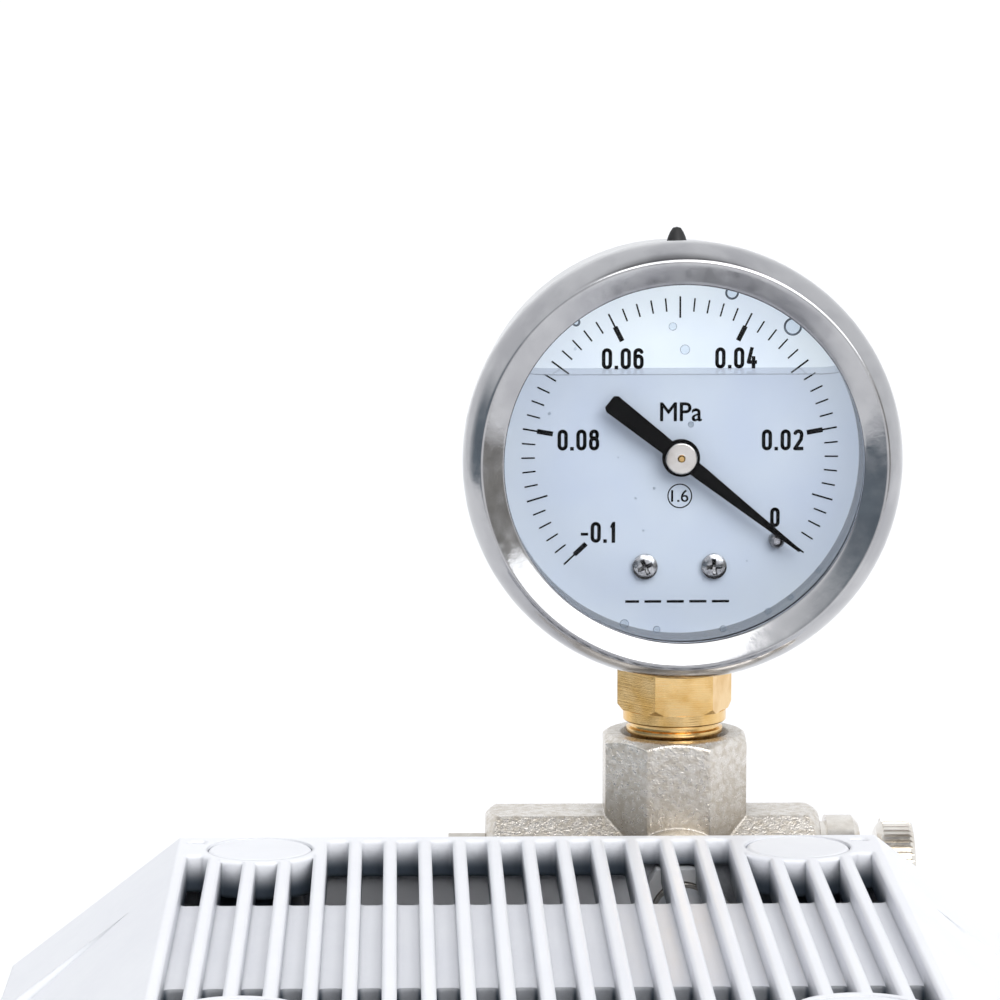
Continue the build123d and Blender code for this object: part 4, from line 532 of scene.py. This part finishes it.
# case with its rounded back and rolled front lip
case_profile = [(0, -11.5), (24.3, -11.5), (26.8, -11.2), (28.9, -10.4), (30.6, -9.0), (31.7, -7.2), (32.2, -5.2), (32.3, -3.5), (32.3, 13.8), (32.2, 14.0), (31.6, 14.0), (31.5, 13.8),
                (31.5, -3.5), (31.4, -5.0), (31.0, -6.8), (30.1, -8.3), (28.6, -9.6), (26.7, -10.4), (24.3, -10.7), (0, -10.7)]
NODES_CASE_KEEP = True

# dial: face with a soft mottled enamel
dial_mat = material("dial_enamel", lin(238, 248, 255), 0.42, bumps=((3600, 0.004, 2), (120, 0.01, 2)), tint=(70, lin(230, 241, 253), 0.35, 0.65), rough_mix=(900, 0.36, 0.48))
M["dial"] = dial_mat
for s in NODES["gauge_dial"].material_slots:
    s.material = dial_mat
if not NODES["gauge_dial"].material_slots:
    NODES["gauge_dial"].data.materials.append(dial_mat)


# ---------------------------------------------------------------- dial print
def on_dial(x, y, z=10.012):
    return gpt(x, y, z)


class Sheet:
    """Thin printed shapes gathered in one mesh."""

    def __init__(self):
        self.v, self.f = [], []

    def poly(self, pts, z=10.03):
        n = len(self.v)
        self.v += [tuple(on_dial(x, y, z)) for x, y in pts]
        self.f.append(tuple(range(n, n + len(pts))))

    def bar(self, a, r0, r1, w):
        a = math.radians(a)
        u = Vector((math.cos(a), math.sin(a)))
        t = Vector((-u.y, u.x)) * w / 2
        self.poly([tuple(u * r0 - t), tuple(u * r1 - t), tuple(u * r1 + t), tuple(u * r0 + t)])

    def ring(self, cx, cy, r, w, n=64):
        for i in range(n):
            a, b = 2 * math.pi * i / n, 2 * math.pi * (i + 1) / n
            self.poly([(cx + (r - w / 2) * math.cos(a), cy + (r - w / 2) * math.sin(a)), (cx + (r + w / 2) * math.cos(a), cy + (r + w / 2) * math.sin(a)),
                       (cx + (r + w / 2) * math.cos(b), cy + (r + w / 2) * math.sin(b)), (cx + (r - w / 2) * math.cos(b), cy + (r - w / 2) * math.sin(b))])


prints = Sheet()
majors = [223.4, 170.1, 116.8, 63.5, 10.2]
zero = -38.3
for k, a in enumerate(majors):
    prints.bar(a, 20.1, 22.6, 0.76)
    prints.bar(a, 22.5, 24.85, 0.27)
    nxt = majors[k + 1] if k + 1 < len(majors) else a - 53.3
    last_range = k == len(majors) - 1
    for i in range(1, 10):
        b = a + (nxt - a) * i / 10.0
        if last_range and b < zero + 3.0:
            continue
        if i == 5:
            prints.bar(b, 21.55, 24.9, 0.27)
        else:
            prints.bar(b, 22.6, 24.7, 0.24)
prints.bar(zero, 22.6, 24.8, 0.27)
PX = 0.1543


def dial_px(x, y):
    """A place on the dial from its offset in print units, right and down from the centre."""
    return ((x - 682.2) * PX, (454.7 - y) * PX)


for x0, x1 in ((627.5, 641.5), (647, 664), (669.6, 687), (692.5, 710), (715.5, 733)):
    (ax, ay), (bx, by) = dial_px(x0, 605.0), dial_px(x1, 602.4)
    prints.poly([(ax, ay), (bx, ay), (bx, by), (ax, by)])
cx, cy = dial_px(682.3, 495.8)
prints.ring(cx, cy, 1.85, 0.19)


def stroke(pts, w, closed=False):
    """A constant-width line with round joins, as flat pieces of the print."""
    n = len(pts)
    for i in range(n if closed else n - 1):
        a, b = Vector(pts[i]), Vector(pts[(i + 1) % n])
        d = b - a
        if d.length < 1e-6:
            continue
        t = Vector((-d.y, d.x)).normalized() * w / 2
        prints.poly([tuple(a - t), tuple(b - t), tuple(b + t), tuple(a + t)])
    for i in range(0 if closed else 1, n if closed else n - 1):
        c = Vector(pts[i])
        prints.poly([(c.x + w / 2 * math.cos(2 * math.pi * k / 12), c.y + w / 2 * math.sin(2 * math.pi * k / 12)) for k in range(12)])


def arc(cx_, cy_, rx, ry, a0, a1, n=12):
    return [(cx_ + rx * math.cos(math.radians(a0 + (a1 - a0) * k / n)), cy_ + ry * math.sin(math.radians(a0 + (a1 - a0) * k / n))) for k in range(n + 1)]


def digit(ch, x, y, w, h, sw):
    """One narrow figure of the scale, its box centred on (x, y)."""
    a, b = (w - sw) / 2, (h - sw) / 2
    e = min(a, b) * 1.05
    if ch == "0":
        pts, closed = arc(x, y + b - e, a, e, 0, 180) + arc(x, y - b + e, a, e, 180, 360), True
        stroke(pts, sw, closed)
    elif ch == "1":
        stroke([(x - a * 0.75, y + b - 0.42 * h * 0.5), (x + a * 0.25, y + b), (x + a * 0.25, y - b - sw / 2)], sw)
        prints.poly([(x + a * 0.25 - sw / 2, y + b - 0.3), (x + a * 0.25 + sw / 2, y + b - 0.3), (x + a * 0.25 + sw / 2, y + h / 2), (x + a * 0.25 - sw * 0.2, y + h / 2)])
    elif ch == "2":
        stroke(arc(x, y + b - e, a, e, 172, 0) + [(x + a, y + b - e * 1.15), (x + a * 0.8, y + 0.02 * h), (x - a, y - b), (x + a + sw / 2, y - b)], sw)
    elif ch == "4":
        stroke([(x + a * 0.05, y + h / 2), (x - a, y - 0.2 * h), (x + a + sw / 2, y - 0.2 * h)], sw)
        stroke([(x + a * 0.5, y + 0.08 * h), (x + a * 0.5, y - h / 2)], sw)
    elif ch == "6":
        stroke(arc(x, y + b - e, a, e, 8, 180) + arc(x, y - b + e, a, e, 180, 360) + arc(x, y + 0.12 * h - e, a, e, 0, 180), sw)
    elif ch == "8":
        u = a * 0.92
        stroke(arc(x, y + b - u, u, u, 0, 180) + arc(x, y + 0.08 * h + u * 0.9, u, u * 0.9, 180, 360), sw, True)
        stroke(arc(x, y + 0.06 * h - e, a, e, 0, 180) + arc(x, y - b + e, a, e, 180, 360), sw, True)
    elif ch == ".":
        prints.poly([(x - sw * 0.5, y - h / 2), (x + sw * 0.5, y - h / 2), (x + sw * 0.5, y - h / 2 + sw), (x - sw * 0.5, y - h / 2 + sw)])
    elif ch == "-":
        prints.poly([(x - w / 2, y - sw * 0.45 - 0.25), (x + w / 2, y - sw * 0.45 - 0.25), (x + w / 2, y + sw * 0.35 - 0.25), (x - w / 2, y + sw * 0.35 - 0.25)])


def number(text, px, py, h=3.3, w=1.6, gap=0.38, sw=0.56):
    cx_, cy_ = dial_px(px, py)
    widths = [sw if c == "." else (1.15 if c in "-1" else w) for c in text]
    x = cx_ - (sum(widths) + gap * (len(text) - 1)) / 2
    for c, cw in zip(text, widths):
        digit(c, x + cw / 2, cy_, cw, h, sw)
        x += cw + gap


for t, x, y in (("0.06", 624.1, 356.2), ("0.04", 738.4, 355.7), ("0.08", 579.6, 438.5), ("0.02", 786.0, 439.1), ("-0.1", 600.4, 532.7)):
    number(t, x, y)
number("0", 778.8, 518.0, 3.1, 1.5)
me = bpy.data.meshes.new("dial_scale")
me.from_pydata(prints.v, [], prints.f)
link("dial_scale", me, M["print"], "root")



def text_mesh(text, cx, cy, height, width, offset=0.0, name="dial_text"):
    cu = bpy.data.curves.new(name, "FONT")
    cu.body = text
    cu.align_x, cu.align_y = "CENTER", "CENTER"
    cu.size = 1.0
    cu.offset = offset
    cu.resolution_u = 6
    o = bpy.data.objects.new(name, cu)
    scene.collection.objects.link(o)
    me = baked(o)
    bpy.data.objects.remove(o)
    xs = [v.co.x for v in me.vertices]
    ys = [v.co.y for v in me.vertices]
    sx, sy = width / (max(xs) - min(xs)), height / (max(ys) - min(ys))
    mx_, my_ = (max(xs) + min(xs)) / 2, (max(ys) + min(ys)) / 2
    for v in me.vertices:
        v.co = on_dial(cx + (v.co.x - mx_) * sx, cy + (v.co.y - my_) * sy, 10.03)
    return link(name, me, M["print"], "root")


px_, py_ = dial_px(683.2, 410.3)
for dx, dy in ((-0.06, 0), (0.06, 0), (0, 0.05), (0, -0.05)):
    text_mesh("MPa", px_ + dx, py_ + dy, 2.9, 6.45, 0.0, "dial_unit")
px_, py_ = dial_px(682.3, 495.8)
for dx in (-0.03, 0.03):
    text_mesh("1.6", px_ + dx, py_, 1.9, 2.65, 0.0, "dial_class")

# needle with a little thickness and eased edges, and its cap
refined("needle", 0.05, 2, body="pointer", key="needle")
gauge_lathe("needle_cap_fine", rounded([(0, 13.1, 0), (2.45, 13.1, 0.1), (2.45, 14.05), (0.55, 14.05, 0.08), (0.55, 13.6, 0), (0, 13.6, 0)], 0.22, 4), M["nickel_smooth"], "needle_cap", "pointer", 96)


# ---------------------------------------------------------------- dial screws with a cross recess
def phillips(name, origin, axis, xdir, r, h0, h1, mat, slot_l, slot_w, depth, turn=0.0, body="root", dome=0.35):
    """Screw head on a polar grid, with a cross recess sunk in its crown."""
    axis, xdir = Vector(axis).normalized(), Vector(xdir).normalized()
    ydir = axis.cross(xdir)
    n, rings = 144, 48
    verts, faces, idx = [], [], []
    for k in range(rings + 1):
        t = k / rings
        rr = r * t
        row = []
        for i in range(n):
            a = 2 * math.pi * i / n
            x, y = rr * math.cos(a), rr * math.sin(a)
            h = h1 - dome * t ** 3.2
            c, s = math.cos(turn), math.sin(turn)
            u, v = abs(x * c + y * s), abs(-x * s + y * c)
            lo, hi = min(u, v), max(u, v)
            edge = max(0.0, min(1.0, (slot_w / 2 - lo) / 0.05 + 0.5)) * max(0.0, min(1.0, (slot_l / 2 - hi) / 0.05 + 0.5))
            h -= depth * edge * max(0.35, 1.0 - hi / (slot_l / 2) * 0.7)
            row.append(len(verts))
            verts.append((Vector(origin) + xdir * x + ydir * y + axis * h) * MM)
        idx.append(row)
    low = []
    for i in range(n):
        a = 2 * math.pi * i / n
        low.append(len(verts))
        verts.append((Vector(origin) + (xdir * math.cos(a) + ydir * math.sin(a)) * r + axis * h0) * MM)
    idx.append(low)
    for k in range(1, len(idx) - 1):
        a, b = idx[k], idx[k + 1]
        for i in range(n):
            j = (i + 1) % n
            faces.append((a[i], b[i], b[j], a[j]))
    a = idx[1]
    c0 = len(verts)
    verts.append(verts[idx[0][0]])
    for i in range(n):
        faces.append((c0, a[i], a[(i + 1) % n]))
    faces.append(tuple(reversed(low)))
    me = bpy.data.meshes.new(name)
    me.from_pydata([tuple(v) for v in verts], [], faces)
    bm = bmesh.new()
    bm.from_mesh(me)
    bmesh.ops.remove_doubles(bm, verts=bm.verts, dist=1e-7)
    bmesh.ops.recalc_face_normals(bm, faces=bm.faces)
    loose = [v for v in bm.verts if not v.link_faces]
    bmesh.ops.delete(bm, geom=loose, context="VERTS")
    bm.to_mesh(me)
    bm.free()
    smooth(me, 30.0)
    return link(name, me, mat, body)


M["screw"] = material("pan_screw", lin(206, 206, 206), 0.18, 1.0, bumps=((3000, 0.004, 3),), tint=(700, lin(150, 150, 152), 0.42, 0.62), rough_mix=(900, 0.14, 0.3))
# painted shade: the cross recess goes toward near-black by ambient occlusion
round_edges_and_paint_shade(M["screw"], 0.0, lin(34, 34, 36), 0.0011, 0.35, 0.85)
for i, (x, t) in enumerate(((-5.4, 0.42), (5.4, 0.08))):
    o = phillips("dial_screw_head_%d" % i, G0 + GX * x + GY * -17.4, GN, GX, 1.95, 10.0, 11.3, M["screw"], 2.45, 0.58, 0.95, t)
    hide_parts("dial_screws")
    o = gauge_lathe("dial_screw_shank_%d" % i, [(0, 5.5), (1.0, 5.6), (1.0, 10.0), (0, 10.0)], M["zinc"], "dial_screws", segs=32, x=x, y=-17.4)

# ---------------------------------------------------------------- damping liquid in the gauge
liq = bpy.data.materials.new("glycerine")
liq.use_nodes = True
nt = liq.node_tree
for nd in list(nt.nodes):
    nt.nodes.remove(nd)
out = nt.nodes.new("ShaderNodeOutputMaterial")
tr = nt.nodes.new("ShaderNodeBsdfTransparent")
gl = nt.nodes.new("ShaderNodeBsdfGlossy")
lw = nt.nodes.new("ShaderNodeFresnel")
mp = nt.nodes.new("ShaderNodeMapRange")
mx = nt.nodes.new("ShaderNodeMixShader")
tc = nt.nodes.new("ShaderNodeTexCoord")
gn = nt.nodes.new("ShaderNodeTexNoise")
cm = nt.nodes.new("ShaderNodeMix")
cm.data_type = "RGBA"
gn.inputs["Scale"].default_value = 45.0
nt.links.new(tc.outputs["Object"], gn.inputs["Vector"])
nt.links.new(gn.outputs["Fac"], cm.inputs[0])
cm.inputs[6].default_value = (0.865, 0.873, 0.90, 1.0)
cm.inputs[7].default_value = (0.885, 0.892, 0.915, 1.0)
nt.links.new(cm.outputs[2], tr.inputs["Color"])
gl.inputs["Roughness"].default_value = 0.05
lw.inputs["IOR"].default_value = 1.12
mp.inputs["To Min"].default_value = 0.0
mp.inputs["To Max"].default_value = 0.55
nt.links.new(lw.outputs["Fac"], mp.inputs["Value"])
nt.links.new(mp.outputs["Result"], mx.inputs["Fac"])
nt.links.new(tr.outputs[0], mx.inputs[1])
nt.links.new(gl.outputs[0], mx.inputs[2])
nt.links.new(mx.outputs[0], out.inputs["Surface"])
M["liquid"] = liq

R_LIQ = 27.9
lv_back, lv_front = 13.75, 13.35
z_back, z_front = 10.06, 17.95


def level(x, z):
    """Height of the liquid at a place across the case, climbing at the wall and the glass."""
    t = (z - z_back) / (z_front - z_back)
    base = lv_back + (lv_front - lv_back) * t
    edge = 0.9 * math.exp(-(25.2 - abs(x)) / 1.1) if abs(x) < 25.2 else 0.9
    return base + edge + 0.35 * math.exp(-(z_front - z) / 0.35)


def liquid_mesh():
    nx, nz = 96, 10
    verts, faces = [], []
    top, bot = [], []
    for k in range(nz + 1):
        z = z_back + (z_front - z_back) * k / nz
        rowt, rowb = [], []
        for i in range(nx + 1):
            s = -1 + 2 * i / nx
            x = 24.3 * math.sin(s * math.pi / 2)
            y = level(x, z)
            y = min(y, math.sqrt(max(0, R_LIQ ** 2 - x * x)) - 0.05)
            rowt.append(len(verts))
            verts.append(tuple(gpt(x, y, z)))
            rowb.append(len(verts))
            # lower side runs round the case wall
            th0, th1 = math.radians(180 - 29.3), math.radians(360 + 29.3)
            th = th0 + (th1 - th0) * i / nx
            verts.append(tuple(gpt(R_LIQ * math.cos(th), R_LIQ * math.sin(th), z)))
        top.append(rowt)
        bot.append(rowb)
    for k in range(nz):
        for i in range(nx):
            faces.append((top[k][i], top[k][i + 1], top[k + 1][i + 1], top[k + 1][i]))
            faces.append((bot[k][i], bot[k + 1][i], bot[k + 1][i + 1], bot[k][i + 1]))
        faces.append((top[k][0], top[k + 1][0], bot[k + 1][0], bot[k][0]))
        faces.append((top[k][nx], bot[k][nx], bot[k + 1][nx], top[k + 1][nx]))
    for k in (0, nz):
        for i in range(nx):
            q = (top[k][i], bot[k][i], bot[k][i + 1], top[k][i + 1])
            faces.append(q if k == 0 else tuple(reversed(q)))
    me = bpy.data.meshes.new("damping_liquid")
    me.from_pydata(verts, [], faces)
    bm = bmesh.new()
    bm.from_mesh(me)
    bmesh.ops.remove_doubles(bm, verts=bm.verts, dist=1e-6)
    bmesh.ops.recalc_face_normals(bm, faces=bm.faces)
    bm.to_mesh(me)
    bm.free()
    smooth(me, 40.0)
    return me


link("damping_liquid", liquid_mesh(), liq, "root")

# air bubbles and droplets held on the inside of the glass
drop = bpy.data.materials.new("glass_drop")
drop.use_nodes = True
nt = drop.node_tree
for nd in list(nt.nodes):
    nt.nodes.remove(nd)
out = nt.nodes.new("ShaderNodeOutputMaterial")
tr = nt.nodes.new("ShaderNodeBsdfTransparent")
gl = nt.nodes.new("ShaderNodeBsdfGlossy")
fr = nt.nodes.new("ShaderNodeFresnel")
mx = nt.nodes.new("ShaderNodeMixShader")
tc = nt.nodes.new("ShaderNodeTexCoord")
gn = nt.nodes.new("ShaderNodeTexNoise")
gr = nt.nodes.new("ShaderNodeMapRange")
gn.inputs["Scale"].default_value = 400.0
gr.inputs["To Min"].default_value = 0.05
gr.inputs["To Max"].default_value = 0.15
nt.links.new(tc.outputs["Object"], gn.inputs["Vector"])
nt.links.new(gn.outputs["Fac"], gr.inputs["Value"])
nt.links.new(gr.outputs["Result"], gl.inputs["Roughness"])
fr.inputs["IOR"].default_value = 1.35
tr.inputs["Color"].default_value = (0.93, 0.95, 0.97, 1.0)
gl.inputs["Color"].default_value = (0.62, 0.68, 0.76, 1.0)
nt.links.new(fr.outputs["Fac"], mx.inputs["Fac"])
nt.links.new(tr.outputs[0], mx.inputs[1])
nt.links.new(gl.outputs[0], mx.inputs[2])
nt.links.new(mx.outputs[0], out.inputs["Surface"])
# painted shade: a dark ring round some droplets stands in for the dark rim a droplet shows by refraction; the
# droplets themselves are clear
painted_drop_rim = material("drop_edge", lin(70, 78, 88), 0.2, bumps=((900, 0.004, 2),), tint=(700, lin(96, 106, 118), 0.4, 0.6))


def drop_at(name, px, py, r, h=0.35, squash_x=1.0, dark=False):
    x, y = (px - 684.4) * 0.1515, (464.15 - py) * 0.1515
    prof = [(0, 17.9 - h)] + [(r * math.sin(math.radians(a)), 17.9 - h * math.cos(math.radians(a))) for a in range(15, 91, 15)] + [(r, 17.95), (0, 17.95)]
    gauge_lathe(name, prof, drop, None, "root", 40, True, 60.0, x, y)
    if dark:
        # painted shade ring round the droplet
        ring = [(r + 0.16 * math.cos(math.radians(a)), 17.8 + 0.12 * math.sin(math.radians(a))) for a in range(0, 360, 45)]
        gauge_lathe(name + "_edge", ring, painted_drop_rim, None, "root", 48, True, 60.0, x, y)


for i, (bx_, by_, br_, dk_) in enumerate((
        (673, 325.5, 0.62, False), (685.5, 349, 0.75, False), (692, 425.5, 0.45, False), (795, 326, 1.25, True), (575, 321, 0.5, True), (733, 291.5, 0.9, True),
        (636, 501, 0.16, False), (655, 491, 0.2, False), (644, 534, 0.16, False), (548, 414, 0.22, False), (750, 566, 0.14, False), (574, 348, 0.2, False),
        (625, 630.5, 0.7, False), (658, 636.5, 0.55, False), (726, 636, 0.5, False), (772, 618, 0.5, False), (795, 604, 0.45, False), (823, 576, 0.4, False), (618, 459, 0.14, False), (705, 585, 0.12, False))):
    drop_at("drop_%02d" % i, bx_, by_, br_, min(0.3, br_ * 0.5), 1.0, dk_)

# ---------------------------------------------------------------- moulded cover, base and cast cross
refined("top_cover", 0.28, 2, 25.0)
refined("lower_housing", 0.3, 2, 25.0)
refined("cover_plugs", 0.22, 2, 25.0)
refined("cross_fitting", 0.55, 3, 22.0)
refined("gauge_socket", 0.12, 2, 25.0)
refined("power_inlet", 0.2, 2, 25.0)
refined("switch_body", 0.2, 2, 25.0)
refined("switch_rocker", 0.15, 2, 25.0, body="rocker")
refined("inlet_barb", 0.12, 2, 25.0)
refined("outlet_nipple", 0.12, 2, 25.0)
refined("suction_nipple", 0.12, 2, 25.0)
refined("valve_body", 0.12, 2, 25.0)
refined("valve_knob", 0.12, 2, 25.0, body="knob")
refined("nipple_nuts", 0.15, 2, 25.0)
refined("rubber_feet", 0.3, 2, 25.0)
plug_profile = rounded([(0, 28.6, 0), (3.9, 28.6, 0), (4.7, 29.4, 0), (4.7, 30.9, 0), (4.0, 31.0, 0), (4.0, 32.3), (1.6, 32.5), (1.4, 33.3), (1.05, 34.1), (0.62, 34.75), (0, 34.9, 0)], 0.25, 4)
o = link("fill_plug_fine", lathe_mesh("fill_plug_fine", plug_profile, (X_STEM, Y_STEM, GAUGE_Z), (0, 0, 1), (1, 0, 0), 96), M["black_rubber"], "root")
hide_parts("fill_plug")

# ---------------------------------------------------------------- floor, light, world
fme = bpy.data.meshes.new("floor")
edge = [(1.0 * math.cos(math.radians(a)), 1.0 * math.sin(math.radians(a))) for a in range(180, 361, 6)]
outline = edge + [(1.4, 0.7), (30.0, 60.0), (-30.0, 60.0), (-1.0, 0.6)]
fme.from_pydata([(x, y, -0.0005) for x, y in outline], [], [tuple(range(len(outline)))])
floor = bpy.data.objects.new("floor", fme)
scene.collection.objects.link(floor)
floor_mat = material("pale_floor", lin(246, 246, 247), 0.7, bumps=((8, 0.2, 2),), tint=(2, lin(243, 243, 245), 0.35, 0.65))
fme.materials.append(floor_mat)

world = bpy.data.worlds.new("studio")
scene.world = world
world.use_nodes = True
wt = world.node_tree
bg = wt.nodes["Background"]
wc = wt.nodes.new("ShaderNodeTexCoord")


def toward(az, el):
    """Direction az degrees to the right of straight ahead of the dial, el above the horizon."""
    a, e = math.radians(az), math.radians(el)
    return (math.sin(a) * math.cos(e), -math.cos(a) * math.cos(e), math.sin(e))


def span(source, lo, hi, out_lo=0.0, out_hi=1.0):
    mr = wt.nodes.new("ShaderNodeMapRange")
    mr.interpolation_type = "SMOOTHSTEP"
    mr.inputs["From Min"].default_value = lo
    mr.inputs["From Max"].default_value = hi
    mr.inputs["To Min"].default_value = out_lo
    mr.inputs["To Max"].default_value = out_hi
    wt.links.new(source, mr.inputs["Value"])
    return mr.outputs["Result"]


# bright overhead, dim room low down in front of the dial
sep = wt.nodes.new("ShaderNodeSeparateXYZ")
wt.links.new(wc.outputs["Generated"], sep.inputs["Vector"])
low = span(sep.outputs["Z"], 0.10, 0.42, 1.0, 0.0)
side = wt.nodes.new("ShaderNodeMath")
side.operation = "MULTIPLY_ADD"
side.inputs[1].default_value = 0.55
wt.links.new(sep.outputs["X"], side.inputs[0])
wt.links.new(sep.outputs["Y"], side.inputs[2])
front = span(side.outputs[0], -0.22, 0.15, 1.0, 0.0)
both = wt.nodes.new("ShaderNodeMath")
both.operation = "MULTIPLY"
wt.links.new(low, both.inputs[0])
wt.links.new(front, both.inputs[1])
room = wt.nodes.new("ShaderNodeMix")
room.data_type = "RGBA"
room.inputs[6].default_value = (0.20, 0.24, 0.28, 1.0)
room.inputs[7].default_value = (0.34, 0.33, 0.31, 1.0)
wt.links.new(span(sep.outputs["X"], -0.5, 0.7), room.inputs[0])
sky = wt.nodes.new("ShaderNodeMix")
sky.data_type = "RGBA"
sky.inputs[6].default_value = (0.96, 0.975, 1.0, 1.0)
wt.links.new(both.outputs[0], sky.inputs[0])
wt.links.new(room.outputs[2], sky.inputs[7])


def blotch(prev, direction, inner, outer, value):
    """Softly carries the sky toward value round a direction (angles in degrees)."""
    dot = wt.nodes.new("ShaderNodeVectorMath")
    dot.operation = "DOT_PRODUCT"
    dot.inputs[1].default_value = Vector(direction).normalized()
    wt.links.new(wc.outputs["Generated"], dot.inputs[0])
    mix = wt.nodes.new("ShaderNodeMix")
    mix.data_type = "RGBA"
    mix.inputs[7].default_value = value
    wt.links.new(span(dot.outputs["Value"], math.cos(math.radians(outer)), math.cos(math.radians(inner))), mix.inputs[0])
    wt.links.new(prev, mix.inputs[6])
    return mix.outputs[2]


view_of_sky = blotch(sky.outputs[2], toward(6, -9), 9, 27, (0.98, 0.98, 1.0, 1.0))
view_of_sky = blotch(view_of_sky, toward(0, 80), 10, 34, (0.24, 0.24, 0.25, 1.0))
wt.links.new(view_of_sky, bg.inputs["Color"])
bg.inputs["Strength"].default_value = 1.0

sd = bpy.data.lights.new("key", "SUN")
sd.energy = 1.3
sd.angle = math.radians(50)
sd.color = (1.0, 0.99, 0.97)
so = bpy.data.objects.new("key", sd)
scene.collection.objects.link(so)
so.matrix_world = Vector(toward(14, 42)).to_track_quat("Z", "Y").to_matrix().to_4x4()

fd = bpy.data.lights.new("front", "SUN")
fd.energy = 0.8
fd.angle = math.radians(36)
fd.color = (0.96, 0.98, 1.0)
fo = bpy.data.objects.new("front", fd)
scene.collection.objects.link(fo)
fo.matrix_world = Vector(toward(26, 24)).to_track_quat("Z", "Y").to_matrix().to_4x4()

for o in scene.objects:
    if o.type == "MESH" and (o.name.startswith(("gauge_glass_fine", "gauge_bezel_fine", "damping_liquid", "drop_"))):
        o.visible_shadow = False
for n in ("gauge_case", "gauge_gasket"):
    NODES[n].visible_shadow = False
